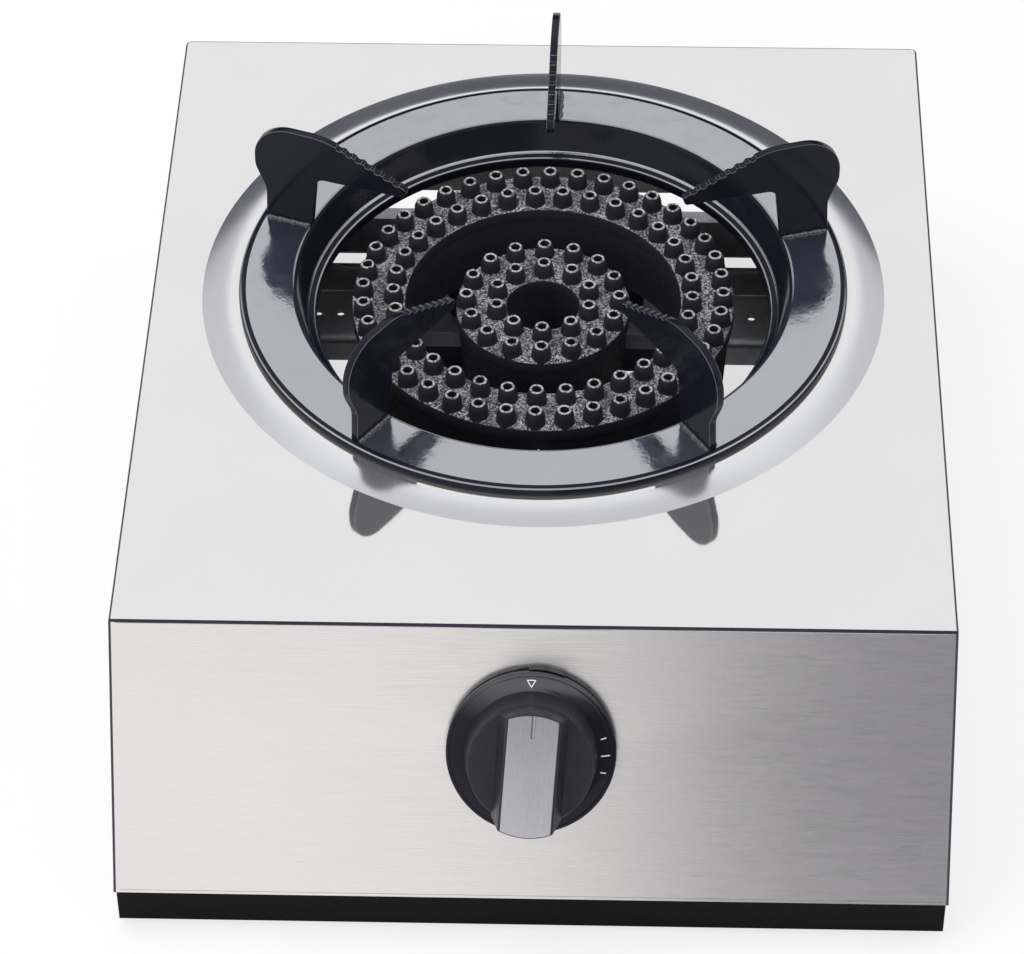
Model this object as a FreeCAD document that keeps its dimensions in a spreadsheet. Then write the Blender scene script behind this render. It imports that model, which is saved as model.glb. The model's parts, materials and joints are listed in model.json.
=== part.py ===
import FreeCAD, Part
import math
import os
import re
import Sketcher

# Single-burner table-top gas stove, in millimetres.
# The frame stands on the table: +Z up, the knob faces -Y, and the origin is the middle of the base.
# Shorter frames used below:
#   case frame    middle of the top's front edge, level with the top, axes as the stove's
#   burner frame  burner axis, level with the top, axes as the stove's
#   panel frame   knob axis where it leaves the slanted panel; x right, y up the slope, z outwards
#   tube frame    mouth of a mixing tube, z along the tube towards the back

SIZES = [
    # casing
    ("casing_width", 300.0, "left to right"),
    ("casing_depth", 329.5, "top cover, front to back"),
    ("panel_rise", 89.9, "height of the slanted front panel"),
    ("panel_run", 50.2, "how far the front panel leans out"),
    ("plinth_height", 14.7, "black strip under the front panel"),
    ("sheet", 1.0, "stainless sheet"),
    ("lip", 9.0, "turned-down edge of the top cover"),
    ("flange", 12.0, "turned-in edges of the casing panels"),
    ("seam", 0.4, "gap between folded edges that do not touch"),
    ("corner_round", 2.5, "back corners of the top cover"),
    ("bend_round", 0.9, "outside of the top cover's bends"),
    ("foot_height", 3.0, "rubber foot under the casing"),
    ("foot_radius", 9.0, ""),
    ("foot_inset", 24.0, "foot axis in from the casing's side"),
    ("foot_pin", 3.0, "foot's stem radius, pressed into the flange"),
    ("plinth_flange", 22.0, "bottom flange that carries the front feet"),
    ("back_gap_top", 77.0, "back panel ends this far below the top"),
    ("rail_top", 88.0, "rear rail starts this far below the top"),
    ("rail_cut", 113.0, "half width of the cut-away in the rail's bottom flange"),
    ("rail_ledge", 9.5, "rail's bottom flange at the cut-away"),
    ("small_screw", 1.5, "radius of the cover and back screws"),
    ("side_screw", 2.0, "radius of the screws that hold the brackets"),
    ("cover_screw_drop", 5.0, "cover screws below the top"),
    ("back_screw_inset", 6.0, "back screws in from the side panels"),
    # burner opening
    ("burner_setback", 179.5, "burner axis behind the top's front edge"),
    ("slope_outer", 130.8, "raised slope on the top cover, outer radius"),
    ("slope_inner", 120.0, "raised slope, inner radius"),
    ("slope_rise", 1.7, "height of the raised seat"),
    ("cover_hole", 97.0, "hole radius in the top cover"),
    # pan ring and prongs
    ("ring_outer", 116.6, ""),
    ("ring_height", 3.0, "rolled lip above the raised seat"),
    ("ring_flat", 94.8, "inner edge of the flat annulus"),
    ("ring_throat", 90.0, "bottom of the cone wall"),
    ("ring_eye", 87.3, "inner edge of the turned-in flange"),
    ("ring_drop", 8.5, "bottom of the cone wall below the top"),
    ("ring_hem", 4.5, "turned-down inner edge below the cone wall"),
    ("enamel_sheet", 1.2, "enamelled sheet"),
    ("prong_turn_1", 88.3, "angles of the prongs, degrees"),
    ("prong_turn_2", 161.4, ""),
    ("prong_turn_3", 233.8, ""),
    ("prong_turn_4", 304.3, ""),
    ("prong_turn_5", 16.2, ""),
    ("prong_plate", 3.0, "prong thickness"),
    ("prong_tip", 55.0, "innermost reach of a prong"),
    ("prong_heel", 114.0, "outer edge of a prong's foot"),
    ("prong_toe", 95.0, "inner edge of a prong's foot"),
    ("prong_top", 49.2, "pan height above the top cover"),
    ("prong_belly", 117.6, "widest reach of a prong"),
    ("notch_radius", 1.5, "scallops on the pan edge"),
    ("notch_pitch", 4.25, ""),
    ("notch_count", 7, ""),
    # burner heads
    ("head_outer", 73.6, "outer burner ring"),
    ("head_inner", 53.0, ""),
    ("head_top", 6.0, "outer ring's face below the top cover"),
    ("cap_outer", 33.7, "inner burner cap"),
    ("cap_eye", 14.0, ""),
    ("cap_top", 9.0, "cap's face below the top cover"),
    ("head_plate", 3.5, "wall of the burner heads"),
    ("seat_drop", 12.0, "outer ring's seat below the top cover"),
    ("cap_seat_drop", 15.0, "cap's seat below the top cover"),
    ("port_base", 3.9, "raised port, radius at its root"),
    ("port_rim", 2.9, "raised port, radius at its mouth"),
    ("port_bore", 1.4, "port hole radius"),
    ("port_height", 6.0, ""),
    ("cap_port_height", 5.5, ""),
    ("outer_row_radius", 69.3, ""),
    ("outer_row_count", 40, ""),
    ("second_row_radius", 57.6, ""),
    ("second_row_count", 33, ""),
    ("cap_row_radius", 29.5, ""),
    ("cap_row_count", 16, ""),
    ("eye_row_radius", 18.6, ""),
    ("eye_row_count", 10, ""),
    # burner body
    ("trough_outer", 72.4, "outer gas chamber"),
    ("trough_inner", 53.6, ""),
    ("cup_outer", 33.0, "inner gas chamber"),
    ("cup_inner", 15.0, ""),
    ("chamber_floor", 40.0, "underside of the chambers below the top"),
    ("casting", 3.0, "cast wall"),
    ("riser_radius", 11.5, "boss that joins a mixing tube to a chamber"),
    ("duct_radius", 6.5, ""),
    ("tube_offset", 24.0, "mixing tubes left and right of the middle"),
    ("tube_drop", 60.0, "mixing tube axis below the top"),
    ("tube_radius", 9.5, "outside of a mixing tube"),
    ("tube_wall", 1.5, ""),
    ("bell_radius", 17.0, "mouth of a mixing tube"),
    ("tube_front", 48.0, "tube mouth behind the top's front edge"),
    ("air_hole", 3.2, "air hole radius"),
    ("air_hole_circle", 10.4, ""),
    ("air_hole_count", 4, ""),
    ("shutter_plate", 1.2, "air shutter thickness"),
    ("shutter_radius", 15.5, ""),
    ("running_gap", 0.08, "radial gap of every turning or sliding fit"),
    ("leg_radius", 8.0, "burner body legs"),
    ("rear_bracket_drop", 60.0, "rear bracket's top below the top cover"),
    ("front_bracket_drop", 74.0, "front bracket's top below the top cover"),
    ("rear_bracket_depth", 31.0, ""),
    ("rear_ledge", 25.0, "stiffening ledge behind the rear bracket"),
    ("ledge_edge", 3.0, "ledge's turned-up edge"),
    ("front_bracket_depth", 24.0, ""),
    ("bracket_sheet", 2.0, ""),
    ("bracket_flange", 12.0, ""),
    ("bracket_bend", 3.5, "outside of the brackets' bends"),
    ("burner_bolt", 2.4, "thread of the screws under the burner body"),
    ("spare_hole", 1.8, "unused holes in the brackets"),
    ("spare_hole_x", 87.4, ""),
    ("spare_hole_pitch", 9.0, ""),
    # gas train
    ("hub_radius", 5.5, "injector hub that carries the shutter"),
    ("injector_bore", 1.2, ""),
    ("injector_jet", 0.5, ""),
    ("block_half", 32.0, "half width of the valve's outlet block"),
    ("block_front", 12.0, "outlet block behind the top's front edge"),
    ("block_depth", 20.0, ""),
    ("block_height", 16.0, ""),
    ("socket_radius", 4.0, "injector thread"),
    ("inlet_x", 112.0, "gas pipe and hose nozzle right of the middle"),
    ("inlet_drop", 54.0, "gas pipe below the top"),
    ("pipe_radius", 4.0, "gas pipe outside radius"),
    ("pipe_wall", 1.0, ""),
    ("pipe_bend", 25.0, "gas pipe bend radius on its axis"),
    ("nozzle_tail", 4.75, "hose nozzle, plain stretch radius"),
    ("nozzle_reach", 24.0, "hose nozzle behind the casing"),
    ("nozzle_bore", 2.5, ""),
    ("thread_radius", 6.0, "thread of nozzle and valve inlet"),
    ("nozzle_thread", 14.0, "nozzle inside the back panel's face"),
    ("inlet_thread", 16.0, "valve inlet beyond the valve's round wall"),
    ("valve_radius", 14.0, ""),
    ("valve_top", 10.0, "valve body behind the panel's face"),
    ("plug_top", 22.0, "plug starts this deep behind the panel's face"),
    ("plug_bottom", 42.0, ""),
    ("valve_bottom", 46.0, ""),
    ("plug_wide", 9.0, "plug radius at its top"),
    ("plug_narrow", 7.0, "plug radius at its bottom"),
    ("stem_radius", 4.0, ""),
    ("stem_flat", 2.8, "flat of the stem from its axis"),
    ("collar_radius", 8.5, ""),
    ("blade_width", 8.0, "stem blade that turns the plug"),
    ("blade_thickness", 3.0, ""),
    ("push_travel", 2.5, "knob push"),
    ("bracket_thin", 1.5, "valve bracket sheet"),
    ("valve_screw_x", 19.0, "valve screws left and right of the stem"),
    ("screw_thread", 1.6, "small screw radius"),
    ("spring_radius", 5.5, "mean radius"),
    ("spring_wire", 0.5, "wire radius"),
    ("spring_turns", 5, ""),
    ("piezo_x", -50.0, "igniter left of the stem"),
    ("electrode_circle", 78.5, "spark electrode from the burner axis"),
    ("lead_radius", 1.3, "ignition wire radius"),
    # knob
    ("knob_drop", 46.0, "knob axis down the panel from the top's edge"),
    ("panel_hole", 6.0, "stem hole in the panel"),
    ("bezel_radius", 30.2, "fixed plate behind the knob"),
    ("bezel_plate", 1.2, ""),
    ("bezel_tab_reach", 31.0, ""),
    ("bezel_tab_left", 6.0, ""),
    ("bezel_tab_right", 12.0, ""),
    ("skirt_radius", 30.3, ""),
    ("skirt_lift", 4.0, "skirt above the panel's face"),
    ("skirt_wall", 1.5, ""),
    ("skirt_crown", 7.6, "skirt's flat above the panel's face"),
    ("grip_base", 23.8, ""),
    ("grip_face_radius", 22.2, ""),
    ("grip_face", 19.5, "round face above the panel's face"),
    ("ridge_top", 30.7, ""),
    ("ridge_foot_width", 25.0, ""),
    ("ridge_top_width", 19.2, ""),
    ("ridge_radius", 22.8, ""),
    ("bar_width", 17.7, ""),
    ("bar_length", 44.9, ""),
    ("bar_top", 31.0, "metal bar's face above the panel's face"),
    ("bar_plate", 1.5, ""),
    ("grip_turn", -4.0, "grip's rest angle against its skirt, degrees"),
]

# Formulas in the names above. They are expanded into each object's own expressions.
FORMULAS = {
    "body_height": "plinth_height + panel_rise",
    "top_level": "foot_height + body_height",
    "panel_slope": "sqrt(panel_run^2 + panel_rise^2)",
    "lean_sin": "panel_run/panel_slope",
    "lean_cos": "panel_rise/panel_slope",
    "panel_tilt": "atan(panel_rise/panel_run)",
    "front_reach": "(knob_drop + bar_length/2)*lean_sin + bar_top*lean_cos",
    "fold_y": "(front_reach - casing_depth - nozzle_reach)/2",
    "back_y": "fold_y + casing_depth",
    "burner_y": "fold_y + burner_setback",
    "knob_y": "-knob_drop*lean_sin",
    "knob_z": "-knob_drop*lean_cos",
    "side_outer": "casing_width/2 - sheet",
    "side_inner": "casing_width/2 - 2*sheet",
    "back_inner": "casing_depth - corner_round",
    "back_outer": "back_inner + sheet",
    "panel_skin": "sheet/lean_cos",
    "seat_level": "slope_rise",
    "ring_top": "slope_rise + ring_height",
    "trough_middle": "(trough_outer + trough_inner)/2",
    "cup_middle": "(cup_outer + cup_inner)/2",
    "outer_riser_y": "-sqrt(trough_middle^2 - tube_offset^2)",
    "leg_y": "trough_middle*sin(60)",
    "leg_x": "trough_middle*cos(60)",
    "rear_bracket_y": "burner_setback + leg_y - 4",
    "front_bracket_y": "burner_setback + outer_riser_y",
    "riser_bottom": "front_bracket_drop",
    "inlet_depth": "(inlet_drop - knob_drop*lean_cos)/lean_sin",
    "inlet_y": "-knob_drop*lean_sin + inlet_depth*lean_cos",
}

# Screw places along the casing, in the case frame.
COVER_SCREW_PLACES = ("-0.4*casing_width", "-0.14*casing_width", "0.14*casing_width", "0.4*casing_width")
BRACKETS = (("front_bracket_y", "front_bracket_drop"), ("rear_bracket_y", "rear_bracket_drop"))
BACK_SCREW_HEIGHTS = ("-lip - flange/2", "-back_gap_top + flange/2", "-(rail_top + body_height)/2")

doc = FreeCAD.newDocument("GasStove")
sheet = doc.addObject("Spreadsheet::Sheet", "Sizes")
for row, (name, value, note) in enumerate(SIZES, start=1):
    sheet.set("A%d" % row, name)
    sheet.set("B%d" % row, repr(value))
    sheet.setAlias("B%d" % row, name)
    sheet.set("C%d" % row, note)
doc.recompute()

NAMES = {name for name, value, note in SIZES}
X_AXIS = FreeCAD.Vector(1, 0, 0)
Y_AXIS = FreeCAD.Vector(0, 1, 0)
Z_AXIS = FreeCAD.Vector(0, 0, 1)
START, END, MIDDLE = 1, 2, 3
ORIGIN = -1


def text(formula):
    """Write a formula out in the sheet's own cells."""
    def expand(match):
        word = match.group(0)
        if word in FORMULAS:
            return "(" + text(FORMULAS[word]) + ")"
        return "Sizes." + word if word in NAMES else word
    return re.sub(r"[A-Za-z_]\w*", expand, str(formula))


def number(formula):
    """The formula's present value."""
    found = sheet.evalExpression(text(formula))
    return float(getattr(found, "Value", found))


# ---------------------------------------------------------------- bodies and sketches

def new_body(label):
    body = doc.addObject("PartDesign::Body", label)
    body.Label = label
    return body


def place(item, x=0, y=0, z=0, axis=None, angle=0, spin=None):
    """Bind an object's Placement: turn about an axis, after an optional spin about its own z."""
    if spin is not None:
        item.setExpression("Placement", "placement(vector(%s; %s; %s); rotation(vector(%g; %g; %g); %s)"
                           " * rotation(vector(0; 0; 1); %s))"
                           % (text(x), text(y), text(z), axis.x, axis.y, axis.z, text(angle), text(spin)))
        return
    if axis is not None:
        item.Placement = FreeCAD.Placement(FreeCAD.Vector(), FreeCAD.Rotation(axis, number(angle)))
        item.setExpression("Placement.Rotation.Angle", text(angle))
    for letter, formula in zip("xyz", (x, y, z)):
        item.setExpression("Placement.Base." + letter, text(formula))


def in_case(item, x=0, y=0, z=0):
    place(item, x, "fold_y + (%s)" % y, "top_level + (%s)" % z)


def in_burner(item):
    place(item, 0, "burner_y", "top_level")


def in_panel(item, spin=None):
    place(item, 0, "fold_y + knob_y", "top_level + knob_z", X_AXIS, "panel_tilt", spin)


def in_tube(item, side):
    place(item, "%d*tube_offset" % side, "fold_y + tube_front", "top_level - tube_drop", X_AXIS, -90)


def sketch_on(body, plane, level=0):
    """A sketch on one of the body's own planes, moved along that plane's normal."""
    sketch = body.newObject("Sketcher::SketchObject", body.Label + "_sketch")
    origin_plane = [f for f in body.Origin.OriginFeatures if f.Role == plane + "_Plane"][0]
    sketch.AttachmentSupport = [(origin_plane, "")]
    sketch.MapMode = "FlatFace"
    if level != 0:
        sketch.setExpression("AttachmentOffset.Base.z", text(level))
    return sketch


def bind(sketch, kind, formula, *where):
    """Add one dimension to a sketch and bind it to its formula."""
    index = sketch.addConstraint(Sketcher.Constraint(kind, *where, number(formula)))
    sketch.setExpression("Constraints[%d]" % index, text(formula))


def fix_point(sketch, geometry, position, x, y):
    bind(sketch, "DistanceX", x, ORIGIN, START, geometry, position)
    bind(sketch, "DistanceY", y, ORIGIN, START, geometry, position)


def circle(sketch, radius, x=0, y=0):
    centre = FreeCAD.Vector(number(x), number(y), 0)
    index = sketch.addGeometry(Part.Circle(centre, Z_AXIS, number(radius)), False)
    if (x, y) == (0, 0):
        sketch.addConstraint(Sketcher.Constraint("Coincident", index, MIDDLE, ORIGIN, START))
    else:
        fix_point(sketch, index, MIDDLE, x, y)
    bind(sketch, "Radius", radius, index)


def outline(sketch, corners, closed=True):
    """Straight sides through corners (x, y) or (x, y, rounding radius), each a formula."""
    points = [FreeCAD.Vector(number(c[0]), number(c[1]), 0) for c in corners]
    count = len(points)
    entries, exits, arcs = list(points), list(points), {}
    for i, corner in enumerate(corners):
        if len(corner) < 3:
            continue
        radius = number(corner[2])
        towards_last = (points[i - 1] - points[i]).normalize()
        towards_next = (points[(i + 1) % count] - points[i]).normalize()
        half = towards_last.getAngle(towards_next) / 2
        entries[i] = points[i] + towards_last * (radius / math.tan(half))
        exits[i] = points[i] + towards_next * (radius / math.tan(half))
        bisector = (towards_last + towards_next).normalize()
        centre = points[i] + bisector * (radius / math.sin(half))
        left_turn = towards_last.cross(towards_next).z < 0
        first, last = (entries[i], exits[i]) if left_turn else (exits[i], entries[i])
        angles = [math.atan2((p - centre).y, (p - centre).x) for p in (first, last)]
        arcs[i] = (Part.ArcOfCircle(Part.Circle(centre, Z_AXIS, radius), *angles), left_turn)
    sides = count if closed else count - 1
    lines = [sketch.addGeometry(Part.LineSegment(exits[i], entries[(i + 1) % count]), False)
             for i in range(sides)]
    for i, corner in enumerate(corners):
        before = lines[i - 1] if closed or i > 0 else None
        after = lines[i] if i < sides else None
        if i not in arcs:
            if before is not None and after is not None:
                sketch.addConstraint(Sketcher.Constraint("Coincident", before, END, after, START))
            anchor = (after, START) if after is not None else (before, END)
            fix_point(sketch, *anchor, corner[0], corner[1])
            continue
        curve, left_turn = arcs[i]
        arc = sketch.addGeometry(curve, False)
        virtual = sketch.addGeometry(Part.Point(points[i]), True)
        fix_point(sketch, virtual, START, corner[0], corner[1])
        first, last = (START, END) if left_turn else (END, START)
        sketch.addConstraint(Sketcher.Constraint("Tangent", before, END, arc, first))
        sketch.addConstraint(Sketcher.Constraint("Tangent", arc, last, after, START))
        sketch.addConstraint(Sketcher.Constraint("PointOnObject", virtual, START, before))
        sketch.addConstraint(Sketcher.Constraint("PointOnObject", virtual, START, after))
        bind(sketch, "Radius", corner[2], arc)


def rectangle(sketch, left, right, bottom, top):
    outline(sketch, [(left, bottom), (right, bottom), (right, top), (left, top)])


def round_bar(sketch, width, radius):
    """Two parallel sides closed by arcs about the sketch's origin."""
    half, reach = number(width) / 2, number(radius)
    high = math.sqrt(reach ** 2 - half ** 2)
    turn = math.atan2(high, half)
    round_shape = Part.Circle(FreeCAD.Vector(), Z_AXIS, reach)
    right = sketch.addGeometry(Part.LineSegment(FreeCAD.Vector(half, -high), FreeCAD.Vector(half, high)),
                               False)
    far = sketch.addGeometry(Part.ArcOfCircle(round_shape, turn, math.pi - turn), False)
    left = sketch.addGeometry(Part.LineSegment(FreeCAD.Vector(-half, high), FreeCAD.Vector(-half, -high)),
                              False)
    near = sketch.addGeometry(Part.ArcOfCircle(round_shape, math.pi + turn, 2 * math.pi - turn), False)
    ring = [right, far, left, near]
    for one, other in zip(ring, ring[1:] + ring[:1]):
        sketch.addConstraint(Sketcher.Constraint("Coincident", one, END, other, START))
    for side in (right, left):
        sketch.addConstraint(Sketcher.Constraint("Vertical", side))
    for arc in (far, near):
        sketch.addConstraint(Sketcher.Constraint("Coincident", arc, MIDDLE, ORIGIN, START))
        bind(sketch, "Radius", radius, arc)
    bind(sketch, "DistanceX", "(%s)/2" % width, ORIGIN, START, right, START)
    bind(sketch, "DistanceX", "-(%s)/2" % width, ORIGIN, START, left, START)


# ---------------------------------------------------------------- features

def pad(body, sketch, length, symmetric=False, reverse=False):
    feature = body.newObject("PartDesign::Pad", body.Label + "_pad")
    feature.Profile = sketch
    feature.SideType = "Symmetric" if symmetric else "One side"
    feature.Reversed = reverse
    feature.setExpression("Length", text(length))
    return feature


def pocket(body, sketch, depth=None, reverse=False, symmetric=False):
    feature = body.newObject("PartDesign::Pocket", body.Label + "_pocket")
    feature.Profile = sketch
    feature.SideType = "Symmetric" if symmetric else "One side"
    feature.Reversed = reverse
    if depth is None:
        feature.Type = "ThroughAll"
    else:
        feature.setExpression("Length", text(depth))
    return feature


def turned(body, kind, corners):
    """Revolve an outline of (radius, height) corners about the body's z axis."""
    sketch = sketch_on(body, "XZ")
    outline(sketch, corners)
    feature = body.newObject("PartDesign::" + kind, body.Label + "_" + kind.lower())
    feature.Profile = sketch
    feature.ReferenceAxis = (sketch, ["V_Axis"])
    feature.Angle = 360
    return feature


def revolve(body, corners):
    return turned(body, "Revolution", corners)


def groove(body, corners):
    return turned(body, "Groove", corners)


def block(body, kind, sizes, x=0, y=0, z=0, axis=None, angle=0):
    """A PartDesign primitive, such as AdditiveBox, with its sizes and place bound."""
    feature = body.newObject("PartDesign::" + kind, body.Label + "_" + kind.lower())
    for name, formula in sizes.items():
        feature.setExpression(name, text(formula))
    place(feature, x, y, z, axis, angle)
    return feature


def side_hole(body, radius, y, z):
    """A hole from left to right through whatever the body has there."""
    block(body, "SubtractiveCylinder", {"Radius": radius, "Height": "2*casing_width"}, "-casing_width", y, z,
          Y_AXIS, 90)


def back_hole(body, x, z, y="back_outer"):
    """A hole through the sheets at the back of the casing, or at y."""
    block(body, "SubtractiveCylinder", {"Radius": "small_screw", "Height": "8*sheet"}, x, "%s + 3*sheet" % y,
          z,
          X_AXIS, 90)


def around(body, features, count, turn=360):
    """Repeat features round the body's z axis."""
    pattern = body.newObject("PartDesign::PolarPattern", body.Label + "_round")
    pattern.Originals = features
    axis = [f for f in body.Origin.OriginFeatures if f.Role == "Z_Axis"][0]
    pattern.Axis = (axis, [""])
    pattern.Angle = turn
    pattern.setExpression("Occurrences", text(count))
    body.Tip = pattern
    return pattern


def grouped(label, solids):
    """Identical fasteners kept together as one group of separate solids."""
    group = doc.addObject("Part::Compound", label)
    group.Label = label
    group.Links = solids
    return group


def screw(name, shank_radius, shank_length, head_radius, head_height):
    """A pan-head screw: its head stands up from z = 0 and its shank goes down."""
    body = new_body(name)
    revolve(body, [(0, "-(%s)" % shank_length), (shank_radius, "-(%s)" % shank_length), (shank_radius, 0),
                   (head_radius, 0), (head_radius, "(%s)*0.45" % head_height),
                   ("(%s)*0.6" % head_radius, head_height), (0, head_height)])
    for axis_sketch in ("XZ", "YZ"):
        recess = sketch_on(body, axis_sketch)
        rectangle(recess, "-(%s)*0.5" % head_radius, "(%s)*0.5" % head_radius,
                  "(%s)*0.35" % head_height, "(%s)*1.2" % head_height)
        pocket(body, recess, "(%s)*0.2" % head_radius, symmetric=True)
    return body


# ---------------------------------------------------------------- casing

def top_cover():
    body = new_body("top_cover")
    plate = sketch_on(body, "XY")
    outline(plate, [("-casing_width/2", "-burner_setback"), ("casing_width/2", "-burner_setback"),
                    ("casing_width/2", "casing_depth - burner_setback", "corner_round"),
                    ("-casing_width/2", "casing_depth - burner_setback", "corner_round")])
    pad(body, plate, "lip", reverse=True)
    hollow = sketch_on(body, "XY", "-sheet")
    outline(hollow, [("-side_outer", "-burner_setback - sheet"), ("side_outer", "-burner_setback - sheet"),
                     ("side_outer", "casing_depth - burner_setback - sheet", "corner_round - sheet"),
                     ("-side_outer", "casing_depth - burner_setback - sheet", "corner_round - sheet")])
    pocket(body, hollow, "lip")
    opening = sketch_on(body, "XY")
    circle(opening, "slope_outer")
    pocket(body, opening, "lip")
    block(body, "SubtractiveBox", {"Length": "casing_width + 2", "Width": "2 + panel_skin + seam",
                                   "Height": "lip"},
          "-casing_width/2 - 1", "-burner_setback - 2", "-lip - sheet")
    for x in COVER_SCREW_PLACES:
        back_hole(body, x, "-cover_screw_drop", "casing_depth - burner_setback")
    raised = revolve(body, [("slope_outer", 0), ("slope_inner", "slope_rise"), ("cover_hole", "slope_rise"),
                            ("cover_hole", "slope_rise - sheet"), ("slope_inner", "slope_rise - sheet"),
                            ("slope_outer", "-sheet")])
    doc.recompute()
    half, back = number("casing_width/2"), number("casing_depth - burner_setback")
    bends = []
    for i, edge in enumerate(raised.Shape.Edges, start=1):
        box = edge.BoundBox
        along_side = abs(abs(box.Center.x) - half) < 0.01 and box.XLength < 0.01
        along_back = abs(box.Center.y - back) < 0.01 and box.YLength < 0.01
        if (along_side or along_back) and abs(box.ZMax) < 0.01 and box.ZLength < 0.01:
            bends.append("Edge%d" % i)
    rounded = body.newObject("PartDesign::Fillet", "top_cover_bends")
    rounded.Base = (raised, bends)
    rounded.setExpression("Radius", text("bend_round"))
    in_burner(body)


def side_panel(label, side):
    """Flat side with its bottom and back edges turned in, cut to the front panel's slope."""
    body = new_body(label)
    profile = sketch_on(body, "YZ")
    outline(profile, [("-panel_run + panel_skin + seam", "-panel_rise"),
                      ("-sheet*panel_run/panel_rise + panel_skin + seam", "-sheet"),
                      ("back_inner", "-sheet"), ("back_inner", "-body_height"),
                      ("-panel_run + sheet + seam", "-body_height"),
                      ("-panel_run + sheet + seam", "-panel_rise")])
    pad(body, profile, "sheet", reverse=side < 0)
    bottom = sketch_on(body, "XY", "-body_height")
    near, far = ("-flange", 0) if side > 0 else (0, "flange")
    rectangle(bottom, near, far, "-panel_run + plinth_flange + sheet + seam", "back_inner - flange - seam")
    pad(body, bottom, "sheet")
    back = sketch_on(body, "XY", "-body_height + flange/2")
    rectangle(back, near, far, "back_inner - sheet", "back_inner")
    pad(body, back, "body_height - flange/2 - lip - seam")
    for y, drop in BRACKETS:
        side_hole(body, "side_screw", y, "-%s - 0.6*bracket_flange" % drop)
    for z in BACK_SCREW_HEIGHTS:
        back_hole(body, "%d*back_screw_inset" % -side, z)
    in_case(body, "%d*side_inner" % side)


def front_panel():
    """Slanted sheet, its top edge turned back under the cover and its bottom edge over the plinth."""
    body = new_body("front_panel")
    skin = sketch_on(body, "YZ")
    lean = "panel_run/panel_rise"
    outline(skin, [("-sheet*%s" % lean, "-sheet"), ("-panel_run", "-panel_rise"),
                   ("-panel_run + panel_skin", "-panel_rise"), ("-sheet*%s + panel_skin" % lean, "-sheet")])
    pad(body, skin, "casing_width", symmetric=True)
    turned_in = "casing_width - 4*sheet - 2*seam"
    top = sketch_on(body, "YZ")
    outline(top, [("-1.5*sheet*%s" % lean, "-sheet"), ("-2*sheet*%s + 0.5*sheet" % lean, "-2*sheet"),
                  ("flange", "-2*sheet"), ("flange", "-sheet")])
    pad(body, top, turned_in, symmetric=True)
    bottom = sketch_on(body, "YZ")
    rectangle(bottom, "-panel_run + sheet/2", "-panel_run + flange", "-panel_rise", "-panel_rise + sheet")
    pad(body, bottom, turned_in, symmetric=True)
    block(body, "SubtractiveCylinder", {"Radius": "panel_hole", "Height": "8*sheet"},
          0, "knob_y + 4*sheet*lean_cos", "knob_z - 4*sheet*lean_sin", X_AXIS, "panel_tilt")
    in_case(body)


def channel(label, front, back, width, top_flange, bottom_flange, high, low, feet_y, screws=(),
            cut=False):
    """Upright strip across the casing with a flange at its top and one at its bottom."""
    body = new_body(label)
    web = sketch_on(body, "YZ")
    rectangle(web, front, back, low, high)
    pad(body, web, width, symmetric=True)
    inner = "(%s) - 2*sheet - 2*flange - 2*seam" % width
    for reach, bottom, top in ((bottom_flange, low, "(%s) + sheet" % low),
                               (top_flange, "(%s) - sheet" % high, high)):
        flange = sketch_on(body, "YZ")
        rectangle(flange, *sorted((reach, front), key=number), bottom, top)
        pad(body, flange, inner, symmetric=True)
    if cut:
        block(body, "SubtractiveBox", {"Length": "2*rail_cut", "Width": "plinth_flange", "Height": "3*sheet"},
              "-rail_cut", "%s - plinth_flange - rail_ledge" % back, "(%s) - sheet" % low)
    holes = sketch_on(body, "XY", low)
    for side in (-1, 1):
        circle(holes, "foot_pin", "%d*(casing_width/2 - foot_inset)" % side, feet_y)
    pocket(body, holes, "2*sheet", reverse=True)
    for x in screws:
        back_hole(body, x, BACK_SCREW_HEIGHTS[2])
    in_case(body)


def back_panel():
    body = new_body("back_panel")
    face = sketch_on(body, "XZ", "-back_inner")
    rectangle(face, "-side_inner", "side_inner", "-back_gap_top", "-sheet")
    circle(face, "thread_radius + 0.3", "inlet_x", "-inlet_drop")
    pad(body, face, "sheet", reverse=True)
    for side in (-1, 1):
        for z in BACK_SCREW_HEIGHTS[:2]:
            back_hole(body, "%d*(side_inner - back_screw_inset)" % side, z)
    for x in COVER_SCREW_PLACES:
        back_hole(body, x, "-cover_screw_drop")
    in_case(body)


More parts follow.
